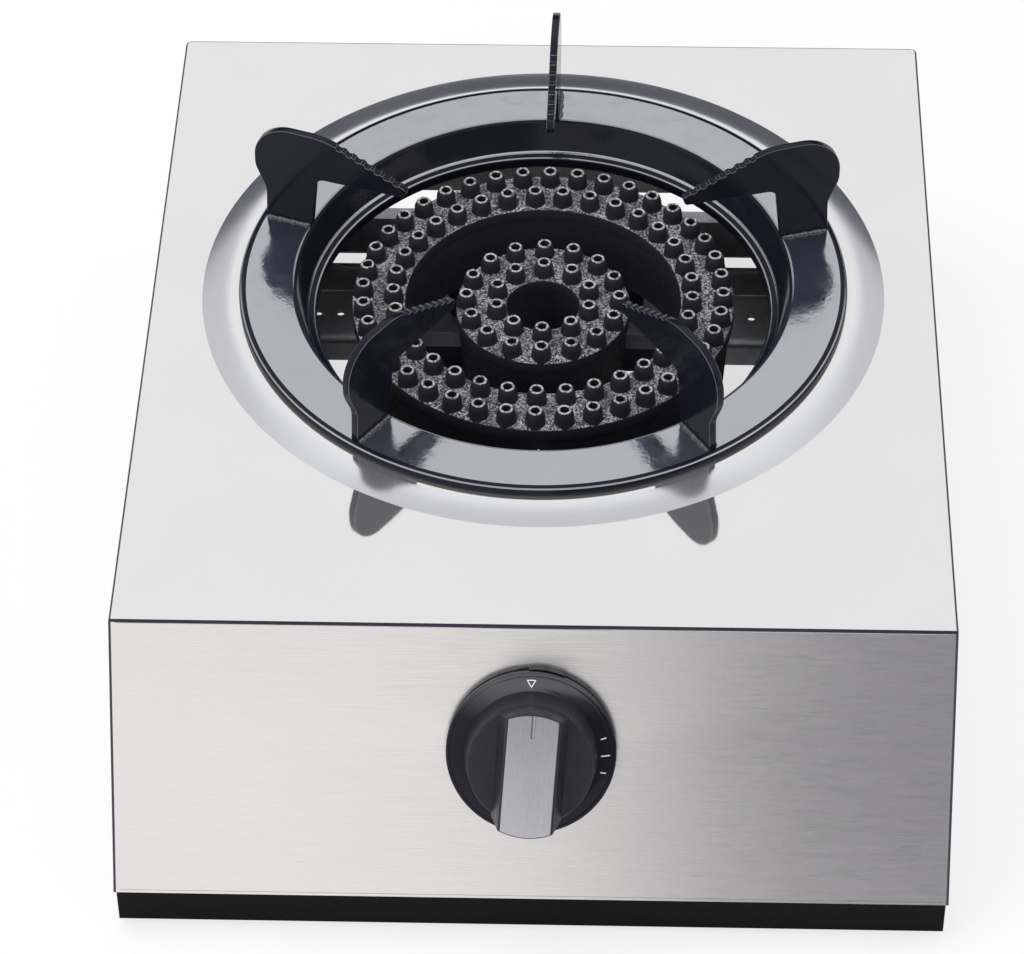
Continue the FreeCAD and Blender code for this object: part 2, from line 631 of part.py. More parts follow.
def cross_bracket(label, middle, depth, drop, bolts, ledge=None):
    """Flat bridge from side to side with flanges down and its ends turned down on the side panels."""
    body = new_body(label)
    profile = sketch_on(body, "YZ")
    half = "(%s)/2" % depth
    outline(profile, [("-" + half, "-bracket_flange"), ("-%s + bracket_sheet" % half, "-bracket_flange"),
                      ("-%s + bracket_sheet" % half, "-bracket_sheet", 1.5),
                      ("%s - bracket_sheet" % half, "-bracket_sheet", 1.5),
                      ("%s - bracket_sheet" % half, "-bracket_flange"), (half, "-bracket_flange"),
                      (half, 0, "bracket_bend"), ("-" + half, 0, "bracket_bend")])
    pad(body, profile, "2*side_inner", symmetric=True)
    for side in (-1, 1):
        end = sketch_on(body, "XZ")
        inner, outer = sorted(("%d*side_inner" % side, "%d*(side_inner - bracket_sheet)" % side), key=number)
        rectangle(end, inner, outer, "-bracket_flange", 0)
        pad(body, end, "(%s) - 2.4*bracket_bend" % depth, symmetric=True)
    if ledge:
        step = sketch_on(body, "YZ")
        reach = "%s + %s" % (half, ledge)
        outline(step, [(half, "-bracket_flange"), (reach, "-bracket_flange"),
                       (reach, "-bracket_flange + ledge_edge"),
                       ("%s - bracket_sheet" % reach, "-bracket_flange + ledge_edge"),
                       ("%s - bracket_sheet" % reach, "-bracket_flange + bracket_sheet"),
                       (half, "-bracket_flange + bracket_sheet")])
        pad(body, step, "2*side_inner - 2*bracket_flange", symmetric=True)
    side_hole(body, "side_screw", 0, "-0.6*bracket_flange")
    holes = sketch_on(body, "XY")
    for x, y in bolts:
        circle(holes, "burner_bolt + 0.1", x, y)
    for side in (-1, 1):
        for step in (-1, 1):
            circle(holes, "spare_hole", "%d*(spare_hole_x + %d*spare_hole_pitch/2)" % (side, step), 0)
    pocket(body, holes, "2*bracket_sheet")
    in_case(body, 0, middle, "-(%s)" % drop)


def foot(label, x_side, y):
    """Rubber foot whose stem is pressed through a hole in the casing's bottom flange."""
    body = new_body(label)
    revolve(body, [(0, 0), ("foot_radius - 0.8", 0), ("foot_radius", "foot_height"),
                   ("foot_pin", "foot_height"),
                   ("foot_pin", "foot_height + sheet"), ("foot_pin + 1.6", "foot_height + sheet"),
                   ("foot_pin", "foot_height + 3*sheet"), (0, "foot_height + 3*sheet")])
    place(body, "%d*(casing_width/2 - foot_inset)" % x_side, "fold_y + (%s)" % y, 0)


def casing():
    top_cover()
    side_panel("side_panel_left", -1)
    side_panel("side_panel_right", 1)
    front_panel()
    back_panel()
    front_foot = "-panel_run + foot_radius + 3"
    rear_foot = "back_inner - foot_radius - 3"
    channel("plinth", "-panel_run", "-panel_run + sheet", "2*side_outer", "-panel_run + flange",
            "-panel_run + plinth_flange", "-panel_rise", "-body_height", front_foot)
    channel("rear_rail", "back_outer", "back_inner", "2*side_outer", "back_inner - flange/2",
            "back_inner - plinth_flange", "-rail_top", "-body_height", rear_foot,
            ["back_screw_inset - side_inner", "side_inner - back_screw_inset"], cut=True)
    cross_bracket("rear_bracket", "rear_bracket_y", "rear_bracket_depth", "rear_bracket_drop",
                  [("-leg_x", "4"), ("leg_x", "4")], "rear_ledge")
    cross_bracket("front_bracket", "front_bracket_y", "front_bracket_depth", "front_bracket_drop",
                  [("tube_offset", 0)])
    for depth_name, y in (("front", front_foot), ("rear", rear_foot)):
        for side_name, side in (("left", -1), ("right", 1)):
            foot("foot_%s_%s" % (depth_name, side_name), side, y)


def casing_screws():
    """Screws through the outer skin. Each head lies on the sheet that it holds."""
    covers, sides, backs, burners = [], [], [], []
    for k, x in enumerate(COVER_SCREW_PLACES):
        item = screw("cover_screw_%d" % k, "small_screw", "5*sheet", 3.0, 1.6)
        place(item, x, "back_y", "top_level - cover_screw_drop", X_AXIS, -90)
        covers.append(item)
    for side in (-1, 1):
        for k, (y, drop) in enumerate(BRACKETS):
            item = screw("side_screw_%d_%d" % (side + 1, k), "side_screw", "sheet + 3*bracket_sheet", 3.8,
                         2.2)
            place(item, "%d*side_outer" % side, "fold_y + " + y, "top_level - %s - 0.6*bracket_flange" % drop,
                  Y_AXIS, 90 * side)
            sides.append(item)
        for k, z in enumerate(BACK_SCREW_HEIGHTS):
            item = screw("back_screw_%d_%d" % (side + 1, k), "small_screw", "3.5*sheet", 3.0, 1.6)
            place(item, "%d*(side_inner - back_screw_inset)" % side, "fold_y + back_outer",
                  "top_level + " + z,
                  X_AXIS, -90)
            backs.append(item)
    for k, (x, y, drop) in enumerate((("-leg_x", "leg_y", "rear_bracket_drop"),
                                      ("leg_x", "leg_y", "rear_bracket_drop"),
                                      ("tube_offset", "outer_riser_y", "front_bracket_drop"))):
        item = screw("burner_screw_%d" % k, "burner_bolt", "bracket_sheet + 3.5", 4.5, 2.6)
        place(item, x, "burner_y + " + y, "top_level - %s - bracket_sheet" % drop, X_AXIS, 180)
        burners.append(item)
    grouped("cover_screws", covers)
    grouped("side_screws", sides)
    grouped("back_screws", backs)
    grouped("burner_screws", burners)


# ---------------------------------------------------------------- pan ring and prongs

def pan_ring():
    """Enamelled ring: rolled outer lip, flat annulus, cone wall and hemmed inner edge."""
    body = new_body("pan_ring")
    wall = "enamel_sheet"
    revolve(body, [("ring_outer", "seat_level"), ("ring_outer", "ring_top", 1.2),
                   ("ring_flat", "ring_top", 0.8),
                   ("ring_throat", "-ring_drop", 0.6), ("ring_eye", "-ring_drop - 0.4", 0.6),
                   ("ring_eye", "-ring_drop - ring_hem"), ("ring_eye + %s" % wall, "-ring_drop - ring_hem"),
                   ("ring_eye + %s" % wall, "-ring_drop - 0.4 - %s" % wall),
                   ("ring_throat + 0.8*%s" % wall, "-ring_drop - %s" % wall, 0.8),
                   ("ring_flat + 0.8*%s" % wall, "ring_top - %s" % wall),
                   ("ring_outer - %s" % wall, "ring_top - %s" % wall),
                   ("ring_outer - %s" % wall, "seat_level")])
    in_burner(body)


def prong(index):
    """Upright plate that leans out over the ring and carries the pan on its scalloped edge."""
    body = new_body("prong_%d" % (index + 1))
    profile = sketch_on(body, "XZ")
    outline(profile, [("prong_toe", "ring_top"), ("prong_toe - 2.7", "prong_top - 20.4", 4),
                      ("prong_tip + 0.8", "prong_top - 19.6", 1.6), ("prong_tip", "prong_top - 15.9", 1.6),
                      ("prong_tip + 33.5", "prong_top", 30), ("prong_belly", "prong_top", 15),
                      ("prong_belly", "prong_top - 20", 12), ("prong_heel - 0.6", "prong_top - 30.5", 10),
                      ("prong_heel", "ring_top")])
    pad(body, profile, "prong_plate", symmetric=True)
    notch = sketch_on(body, "XZ")
    rise = "15.9/33.5"
    notch.AttachmentOffset = FreeCAD.Placement(FreeCAD.Vector(), FreeCAD.Rotation(Z_AXIS, 20))
    notch.setExpression("AttachmentOffset.Rotation.Angle", text("atan(%s)" % rise))
    notch.setExpression("AttachmentOffset.Base.x", text("prong_tip + notch_pitch"))
    notch.setExpression("AttachmentOffset.Base.y", text("prong_top - 15.9 + notch_pitch*%s" % rise))
    circle(notch, "notch_radius", 0, "notch_radius*0.45")
    cut = pocket(body, notch, "2*prong_plate", symmetric=True)
    row = body.newObject("PartDesign::LinearPattern", body.Label + "_scallops")
    row.Originals = [cut]
    row.Direction = (notch, ["H_Axis"])
    row.setExpression("Length", text("notch_pitch*(notch_count - 1)"))
    row.setExpression("Occurrences", text("notch_count"))
    body.Tip = row
    place(body, 0, "burner_y", "top_level", Z_AXIS, "prong_turn_%d" % (index + 1))


# ---------------------------------------------------------------- burner

def ports(body, row_radius, count, face, height, first_angle):
    """One row of raised ports, each a cone with a hole through the head's wall."""
    x = "(%s)*cos(%g)" % (row_radius, first_angle)
    y = "(%s)*sin(%g)" % (row_radius, first_angle)
    root = "-(%s) - 0.5" % face
    cone = block(body, "AdditiveCone", {"Radius1": "port_base", "Radius2": "port_rim",
                                        "Height": "(%s) + 0.5" % height}, x, y, root)
    around(body, [cone], count)
    hole = block(body, "SubtractiveCylinder", {"Radius": "port_bore",
                                               "Height": "(%s) + 2*head_plate" % height},
                 x, y, "%s - head_plate - 1" % root)
    around(body, [hole], count)


def outer_burner_ring():
    body = new_body("outer_burner_ring")
    inside = "-head_top - head_plate"
    revolve(body, [("head_outer", "-seat_drop"), ("head_outer", "-head_top", 1.2),
                   ("head_inner", "-head_top", 1.2),
                   ("head_inner", "-seat_drop"), ("head_inner + 3", "-seat_drop"), ("head_inner + 3", inside),
                   ("trough_middle + 3", inside), ("trough_middle + 3", "-seat_drop - 3"),
                   ("trough_middle + 4.6", "-seat_drop - 3"), ("trough_middle + 4.6", inside),
                   ("head_outer - 2.7", inside), ("head_outer - 2.7", "-seat_drop")])
    ports(body, "outer_row_radius", "outer_row_count", "head_top", "port_height", -1.2)
    ports(body, "second_row_radius", "second_row_count", "head_top", "port_height", 7)
    in_burner(body)


def inner_burner_cap():
    body = new_body("inner_burner_cap")
    inside = "-cap_top - head_plate + 0.3"
    revolve(body, [("cap_outer", "-cap_seat_drop"), ("cap_outer", "-cap_top", 1.2),
                   ("cap_eye", "-cap_top", 1.2),
                   ("cap_eye", "-cap_seat_drop"), ("cap_eye + 2.9", "-cap_seat_drop"),
                   ("cap_eye + 2.9", inside),
                   ("cup_middle - 0.7", inside), ("cup_middle - 0.7", "-cap_seat_drop - 3"),
                   ("cup_middle + 0.9", "-cap_seat_drop - 3"), ("cup_middle + 0.9", inside),
                   ("cap_outer - 2.6", inside), ("cap_outer - 2.6", "-cap_seat_drop")])
    ports(body, "cap_row_radius", "cap_row_count", "cap_top", "cap_port_height", 0)
    ports(body, "eye_row_radius", "eye_row_count", "cap_top", "cap_port_height", 18)
    in_burner(body)


def burner_body():
    """Casting: two ring-shaped gas chambers, arms, legs, and bosses that the mixing tubes enter."""
    body = new_body("burner_body")
    floor = "-chamber_floor + casting + 0.5"

    def chamber(outer, inner, rim):
        revolve(body, [(outer, "-(%s)" % rim), ("%s - 1.7" % outer, "-chamber_floor"),
                       ("%s + 1.7" % inner, "-chamber_floor"), (inner, "-(%s)" % rim),
                       ("%s + casting" % inner, "-(%s)" % rim), ("%s + casting + 1.8" % inner, floor),
                       ("%s - casting - 1.8" % outer, floor), ("%s - casting" % outer, "-(%s)" % rim)])

    chamber("trough_outer", "trough_inner", "seat_drop")
    arm = block(body, "AdditiveBox", {"Length": "trough_inner - cup_outer + 7", "Width": 8, "Height": 12},
                "cup_outer - 3.5", -4, "-chamber_floor")
    around(body, [arm], 4)
    chamber("cup_outer", "cup_inner", "cap_seat_drop")
    for side in (-1, 1):
        block(body, "AdditiveCylinder", {"Radius": "leg_radius",
                                         "Height": "rear_bracket_drop - chamber_floor + 1"},
              "%d*leg_x" % side, "leg_y", "-rear_bracket_drop")
    outer_riser = ("tube_offset", "outer_riser_y")
    inner_riser = ("-cup_middle", 0)
    for x, y in (outer_riser, inner_riser):
        block(body, "AdditiveCylinder", {"Radius": "riser_radius",
                                         "Height": "front_bracket_drop - chamber_floor + 1"},
              x, y, "-front_bracket_drop")
    for x, y in (outer_riser, inner_riser):
        block(body, "SubtractiveCylinder", {"Radius": "duct_radius",
                                            "Height": "tube_drop + tube_radius - chamber_floor + casting"},
              x, y, "-tube_drop - tube_radius + 1")
        block(body, "SubtractiveCylinder", {"Radius": "tube_radius", "Height": "2*riser_radius - casting"},
              x, "(%s) + riser_radius - 2*casting" % y, "-tube_drop", X_AXIS, 90)
    for x, y, drop, depth in (("-leg_x", "leg_y", "rear_bracket_drop", 5),
                              ("leg_x", "leg_y", "rear_bracket_drop", 5),
                              (*outer_riser, "front_bracket_drop", 4)):
        block(body, "SubtractiveCylinder", {"Radius": "burner_bolt", "Height": depth + 1}, x, y,
              "-%s - 1" % drop)
    in_burner(body)


def mixing_tube(label, side, riser_y):
    """Bell-mouthed tube; its end plate has air holes and rides on the injector's hub."""
    body = new_body(label)
    end = "burner_setback + (%s) - riser_radius + 5 - tube_front" % riser_y
    bore = "tube_radius - tube_wall"
    revolve(body, [("hub_radius + running_gap", 0), ("bell_radius", 0, 1), ("bell_radius", 12, 6),
                   ("tube_radius", 26, 6), ("tube_radius", end), (bore, end), (bore, 26),
                   ("bell_radius - tube_wall", 12), ("bell_radius - tube_wall", 2),
                   ("hub_radius + running_gap", 2)])
    hole = sketch_on(body, "XY")
    circle(hole, "air_hole", "air_hole_circle", 0)
    around(body, [pocket(body, hole, 3, reverse=True)], "air_hole_count")
    in_tube(body, side)


def air_shutter(label, side):
    """Disc on the injector's hub; turning it covers the tube's air holes."""
    body = new_body(label)
    disc = sketch_on(body, "XY", "-shutter_plate - 0.3")
    circle(disc, "shutter_radius")
    circle(disc, "hub_radius + running_gap")
    pad(body, disc, "shutter_plate")
    hole = sketch_on(body, "XY", "-shutter_plate - 0.3")
    circle(hole, "air_hole", "air_hole_circle", 0)
    around(body, [pocket(body, hole, "shutter_plate", reverse=True)], "air_hole_count")
    block(body, "AdditiveBox", {"Length": 6, "Width": 7, "Height": "shutter_plate"}, -3,
          "shutter_radius - 1.2",
          "-shutter_plate - 0.3")
    in_tube(body, side)


def injector(label, side):
    """Brass jet: thread in the valve block, hexagon, round hub through shutter and tube, nose."""
    body = new_body(label)
    face = "-(tube_front - block_front - block_depth)"
    hex_end = "-shutter_plate - 0.8"
    block(body, "AdditivePrism", {"Circumradius": 7.2, "Height": "%s - (%s)" % (hex_end, face)}, 0, 0, face)
    block(body, "AdditiveCylinder", {"Radius": "socket_radius", "Height": 8}, 0, 0, "%s - 7" % face)
    block(body, "AdditiveCylinder", {"Radius": "hub_radius", "Height": "2 + shutter_plate + 1.3"}, 0, 0,
          "%s - 0.5" % hex_end)
    block(body, "AdditiveCone", {"Radius1": 4, "Radius2": 2.5, "Height": 5}, 0, 0, 1.9)
    block(body, "SubtractiveCylinder", {"Radius": "injector_bore", "Height": "12 - (%s)" % face}, 0, 0,
          "%s - 8" % face)
    block(body, "SubtractiveCylinder", {"Radius": "injector_jet", "Height": 10}, 0, 0, 0)
    in_tube(body, side)


# ---------------------------------------------------------------- gas valve and pipe

def to_panel(y, z):
    """A place in the case frame, told in the panel frame."""
    back, up = "((%s) - knob_y)" % y, "((%s) - knob_z)" % z
    return "%s*lean_sin + %s*lean_cos" % (back, up), "-%s*lean_cos + %s*lean_sin" % (back, up)


def valve_body():
    body = new_body("valve_body")
    revolve(body, [(0, "-valve_bottom"), ("valve_radius", "-valve_bottom", 1.5),
                   ("valve_radius", "-valve_top"),
                   (0, "-valve_top")])
    block(body, "AdditiveBox", {"Length": "2*valve_screw_x + 8", "Width": 20, "Height": 4},
          "-valve_screw_x - 4", -10, "-valve_top - 4")
    y, z = to_panel("block_front", "-tube_drop - block_height/2")
    block(body, "AdditiveBox", {"Length": "2*block_half", "Width": "block_depth", "Height": "block_height"},
          "-block_half", y, z, X_AXIS, "-panel_tilt")
    block(body, "AdditiveCylinder", {"Radius": "thread_radius + 2", "Height": "valve_radius + 6"},
          0, 0, "-inlet_depth", Y_AXIS, 90)
    block(body, "AdditiveCylinder", {"Radius": "thread_radius", "Height": "valve_radius + inlet_thread"},
          0, 0, "-inlet_depth", Y_AXIS, 90)
    groove(body, [(0, "-plug_bottom"), ("plug_narrow + running_gap", "-plug_bottom"),
                  ("plug_wide + running_gap", "-plug_top"), ("plug_wide + 0.3", "-plug_top"),
                  ("plug_wide + 0.3", 0), (0, 0)])
    block(body, "SubtractiveCylinder", {"Radius": "pipe_radius - pipe_wall", "Height": "valve_radius + 30"},
          5, 0, "-inlet_depth", Y_AXIS, 90)
    for side in (-1, 1):
        y, z = to_panel("block_front + block_depth", "-tube_drop")
        block(body, "SubtractiveCylinder", {"Radius": "socket_radius", "Height": 8},
              "%d*tube_offset" % side, "%s - 8*lean_sin" % y, "%s + 8*lean_cos" % z, X_AXIS,
              "-90 deg - panel_tilt")
        block(body, "SubtractiveCylinder", {"Radius": "screw_thread", "Height": 6},
              "%d*valve_screw_x" % side, 0, "-valve_top - 5")
    in_panel(body)


def valve_plug():
    """Tapered plug with a slot for the stem's blade and a cross bore that lines up when turned."""
    body = new_body("valve_plug")
    revolve(body, [(0, "-plug_bottom + 0.5"), ("plug_narrow + 0.05", "-plug_bottom + 0.5"),
                   ("plug_wide", "-plug_top"), (0, "-plug_top")])
    slot = sketch_on(body, "XY", "-plug_top")
    rectangle(slot, "-blade_thickness/2 - running_gap", "blade_thickness/2 + running_gap",
              "-blade_width/2 - 0.3", "blade_width/2 + 0.3")
    pocket(body, slot, 8.5)
    cross = sketch_on(body, "XZ")
    circle(cross, "pipe_radius - pipe_wall - 0.5", 0, "-plug_bottom + 6")
    pocket(body, cross, "4*plug_wide", symmetric=True)
    in_panel(body, "grip_turn")


def valve_stem():
    """D-shaped stem with a collar under the cap and a blade that slides in the plug's slot."""
    body = new_body("valve_stem")
    collar_top = "-valve_top + bracket_thin"
    revolve(body, [(0, "%s - 2" % collar_top), ("collar_radius", "%s - 2" % collar_top),
                   ("collar_radius", collar_top), ("stem_radius", collar_top), ("stem_radius", 21), (0, 21)])
    block(body, "AdditiveBox", {"Length": "blade_thickness", "Width": "blade_width",
                                "Height": "plug_top - valve_top + 5.5"},
          "-blade_thickness/2", "-blade_width/2", "-plug_top - 5")
    flat = sketch_on(body, "XY", 8)
    rectangle(flat, "stem_flat", "2*stem_radius", "-2*stem_radius", "2*stem_radius")
    pocket(body, flat, 20, reverse=True)
    in_panel(body, "grip_turn")


def stem_spring():
    body = new_body("stem_spring")
    wire = sketch_on(body, "XZ")
    low = "-plug_top + spring_wire + 0.05"
    circle(wire, "spring_wire", "spring_radius", low)
    coil = body.newObject("PartDesign::AdditiveHelix", "stem_spring_coil")
    coil.Profile = wire
    coil.ReferenceAxis = (wire, ["V_Axis"])
    coil.Mode = "height-turns-angle"
    coil.setExpression("Height", text("plug_top - valve_top + bracket_thin - 2 - 2*spring_wire - 0.1"))
    coil.setExpression("Turns", text("spring_turns"))
    in_panel(body)


def valve_cap():
    body = new_body("valve_cap")
    plate = sketch_on(body, "XY", "-valve_top + bracket_thin")
    outline(plate, [("-valve_screw_x - 4", -10, 3), ("valve_screw_x + 4", -10, 3),
                    ("valve_screw_x + 4", 10, 3),
                    ("-valve_screw_x - 4", 10, 3)])
    circle(plate, "stem_radius + running_gap")
    for side in (-1, 1):
        circle(plate, "screw_thread", "%d*valve_screw_x" % side, 0)
    pad(body, plate, 2)
    in_panel(body)


def valve_bracket():
    """Hat-shaped strap spot-welded behind the panel; it carries the valve and the igniter."""
    body = new_body("valve_bracket")
    hat = sketch_on(body, "XZ")
    left, right, gauge = "piezo_x - 13", "valve_screw_x + 15", "bracket_thin"
    outline(hat, [("%s - 10" % left, "-sheet"), ("%s + %s" % (left, gauge), "-sheet"),
                  ("%s + %s" % (left, gauge), "-valve_top + %s" % gauge),
                  ("%s - %s" % (right, gauge), "-valve_top + %s" % gauge),
                  ("%s - %s" % (right, gauge), "-sheet"), ("%s + 10" % right, "-sheet"),
                  ("%s + 10" % right, "-sheet - %s" % gauge), (right, "-sheet - %s" % gauge),
                  (right, "-valve_top"), (left, "-valve_top"), (left, "-sheet - %s" % gauge),
                  ("%s - 10" % left, "-sheet - %s" % gauge)])
    pad(body, hat, 24, symmetric=True)
    holes = sketch_on(body, "XY", "-valve_top")
    circle(holes, "plug_wide + 0.3")
    circle(holes, 4, "piezo_x", 0)
    for side in (-1, 1):
        circle(holes, "screw_thread", "%d*valve_screw_x" % side, 0)
    pocket(body, holes, "2*bracket_thin", reverse=True)
    in_panel(body)


def valve_screws():
    items = []
    for side in (-1, 1):
        item = screw("valve_screw_%d" % (side + 1), "screw_thread", "bracket_thin + 2 + 4", 3.0, 1.8)
        place(item, "%d*valve_screw_x" % side,
              "fold_y + knob_y + (valve_top - bracket_thin - 2)*lean_cos",
              "top_level + knob_z - (valve_top - bracket_thin - 2)*lean_sin", X_AXIS, "panel_tilt")
        items.append(item)
    grouped("valve_screws", items)


def gas_pipe():
    """Steel pipe from the hose nozzle along the right side to the valve's inlet."""
    body = new_body("gas_pipe")
    start_x, end_y = "valve_radius + inlet_thread", "back_outer - nozzle_thread"
    path = sketch_on(body, "XY")
    outline(path, [(start_x, "inlet_y"), ("inlet_x", "inlet_y", "pipe_bend"), ("inlet_x", end_y)],
            closed=False)
    for kind, radius in (("AdditivePipe", "pipe_radius"), ("SubtractivePipe", "pipe_radius - pipe_wall")):
        ring = sketch_on(body, "YZ", start_x)
        circle(ring, radius, "inlet_y", 0)
        pipe = body.newObject("PartDesign::" + kind, body.Label + "_" + kind.lower())
        pipe.Profile = ring
        pipe.Spine = (path, [])
    in_case(body, 0, 0, "-inlet_drop")


def pipe_nut(label):
    """Union nut: a hexagon over the thread, and a shoulder on the pipe."""
    body = new_body(label)
    block(body, "AdditivePrism", {"Circumradius": 9.5, "Height": 12}, 0, 0, -5)
    block(body, "SubtractiveCylinder", {"Radius": "thread_radius", "Height": 8}, 0, 0, -6)
    block(body, "SubtractiveCylinder", {"Radius": "pipe_radius", "Height": 20}, 0, 0, -6)
    return body


def pipe_nuts():
    place(pipe_nut("pipe_nut_front"), "valve_radius + inlet_thread - 1.9", "fold_y + inlet_y",
          "top_level - inlet_drop", Y_AXIS, 90)
    place(pipe_nut("pipe_nut_rear"), "inlet_x", "fold_y + back_outer - nozzle_thread + 1.9",
          "top_level - inlet_drop", X_AXIS, 90)


def hose_nozzle():
    """Brass nozzle: thread inside the casing, collar, plain tail for the hose with a tapered end."""
    body = new_body("hose_nozzle")
    tip = "nozzle_reach + casing_depth - back_outer"
    inner = "-nozzle_thread"
    revolve(body, [("nozzle_bore", inner), ("thread_radius", inner), ("thread_radius", 0), (9, 0, 0.8),
                   (9, 4, 0.8),
                   ("nozzle_tail", 4), ("nozzle_tail", "%s - 2.5" % tip),
                   ("nozzle_tail - 0.8", tip), ("nozzle_bore", tip)])
    place(body, "inlet_x", "fold_y + back_outer", "top_level - inlet_drop", X_AXIS, -90)
    nut = new_body("nozzle_nut")
    block(nut, "AdditivePrism", {"Circumradius": 9.8, "Height": 4}, 0, 0, "-sheet - 4")
    block(nut, "SubtractiveCylinder", {"Radius": "thread_radius", "Height": 20}, 0, 0, -10)
    place(nut, "inlet_x", "fold_y + back_outer", "top_level - inlet_drop", X_AXIS, -90)


# ---------------------------------------------------------------- ignition

def piezo_igniter():
    body = new_body("piezo_igniter")
    revolve(body, [(0, "-valve_top - 34"), (2.2, "-valve_top - 34"), (2.2, "-valve_top - 30"),
                   (7.5, "-valve_top - 30", 1.5), (7.5, "-valve_top"), (4, "-valve_top"),
                   (4, "-valve_top + 5"), (0, "-valve_top + 5")])
    place(body, "piezo_x", "fold_y + knob_y", "top_level + knob_z", X_AXIS, "panel_tilt")


def spark_electrode():
    body = new_body("spark_electrode")
    revolve(body, [(0, -52), (1.6, -52), (1.6, -46), (2.5, -46, 0.5), (2.5, -22, 0.8), (0.9, -20),
                   (0.9, -12, 0.4),
                   (0, -12)])
    place(body, 0, "burner_y - electrode_circle", "top_level")


def electrode_clip():
    body = new_body("electrode_clip")
    plate = sketch_on(body, "XY", "-chamber_floor - 1.2")
    outline(plate, [(-6, "-electrode_circle - 6", 4), (6, "-electrode_circle - 6", 4),
                    (6, "-trough_inner - 4", 2),
                    (-6, "-trough_inner - 4", 2)])
    circle(plate, 2.5, 0, "-electrode_circle")
    pad(body, plate, 1.2)
    in_burner(body)


def ignition_wire():
    """Lead from the igniter's tail under the left mixing tube and up to the electrode's foot."""
    depth = number("valve_top") + 34
    sine, cosine = number("lean_sin"), number("lean_cos")
    start = FreeCAD.Vector(number("piezo_x"), number("fold_y + knob_y") + depth * cosine,
                           number("top_level + knob_z") - depth * sine)
    finish = FreeCAD.Vector(0, number("burner_y - electrode_circle"), number("top_level") - 52)
    leave = FreeCAD.Vector(0, cosine, -sine)
    route = [start, start + leave * 20,
             FreeCAD.Vector(-37, start.y + 42, start.z - 21),
             FreeCAD.Vector(-15, finish.y - 17, finish.z - 36),
             FreeCAD.Vector(0, finish.y, finish.z - 26), finish]
    edges, at = [], route[0]
    lengths = [(b - a).Length for a, b in zip(route, route[1:])]
    for i in range(1, len(route) - 1):
        back = (route[i - 1] - route[i]).normalize()
        ahead = (route[i + 1] - route[i]).normalize()
        half_turn = (math.pi - back.getAngle(ahead)) / 2
        setback = 0.45 * min(lengths[i - 1], lengths[i])
        radius = setback / math.tan(half_turn)
        print("ignition_wire bend %d: radius %.1f" % (i, radius))
        entry, leaving = route[i] + back * setback, route[i] + ahead * setback
        rise = radius / math.cos(half_turn) - radius
        middle = route[i] + (back + ahead).normalize() * rise
        edges.append(Part.LineSegment(at, entry).toShape())
        edges.append(Part.Arc(entry, middle, leaving).toShape())
        at = leaving
    edges.append(Part.LineSegment(at, route[-1]).toShape())
    path = Part.Wire(edges)
    section = Part.Wire([Part.Circle(route[0], route[1] - route[0], number("lead_radius")).toShape()])
    item = doc.addObject("Part::Feature", "ignition_wire")
    item.Label = "ignition_wire"
    item.Shape = path.makePipeShell([section], True, False)
    expected = math.pi * number("lead_radius") ** 2 * path.Length
    print("ignition_wire length %.1f, volume over section times length %.4f"
          % (path.Length, item.Shape.Volume / expected))


# ---------------------------------------------------------------- knob

def knob_bezel():
    """Fixed plate on the panel with a small tab that stands out past the knob's skirt."""
    body = new_body("knob_bezel")
    plate = sketch_on(body, "XY")
    circle(plate, "bezel_radius")
    pad(body, plate, "bezel_plate")
    tab = sketch_on(body, "XY")
    outline(tab, [("-bezel_tab_left - 1.5", 20), ("bezel_tab_right + 1.5", 20),
                  ("bezel_tab_right", "bezel_tab_reach - 2.2", 1.5), ("3", "bezel_tab_reach + 0.4", 18),
                  ("-bezel_tab_left", "bezel_tab_reach - 1.2", 1.5)])
    pad(body, tab, "bezel_plate + 3")
    room = sketch_on(body, "XY", "bezel_plate")
    circle(room, "skirt_radius + 0.4")
    pocket(body, room, 6, reverse=True)
    hole = sketch_on(body, "XY")
    circle(hole, "panel_hole")
    pocket(body, hole, 6, reverse=True)
    in_panel(body)


def knob_skirt():
    """Shallow cone that rises from its rim to a flat which carries the grip."""
    body = new_body("knob_skirt")
    revolve(body, [("skirt_radius", "skirt_lift"), ("skirt_radius", "skirt_lift + 1.4", 0.6),
                   ("grip_base + 0.3", "skirt_crown", 1), (9, "skirt_crown"), (9, "skirt_crown - skirt_wall"),
                   ("grip_base - 0.4", "skirt_crown - skirt_wall", 1), ("skirt_radius - 1.6", "skirt_lift")])
    in_panel(body)


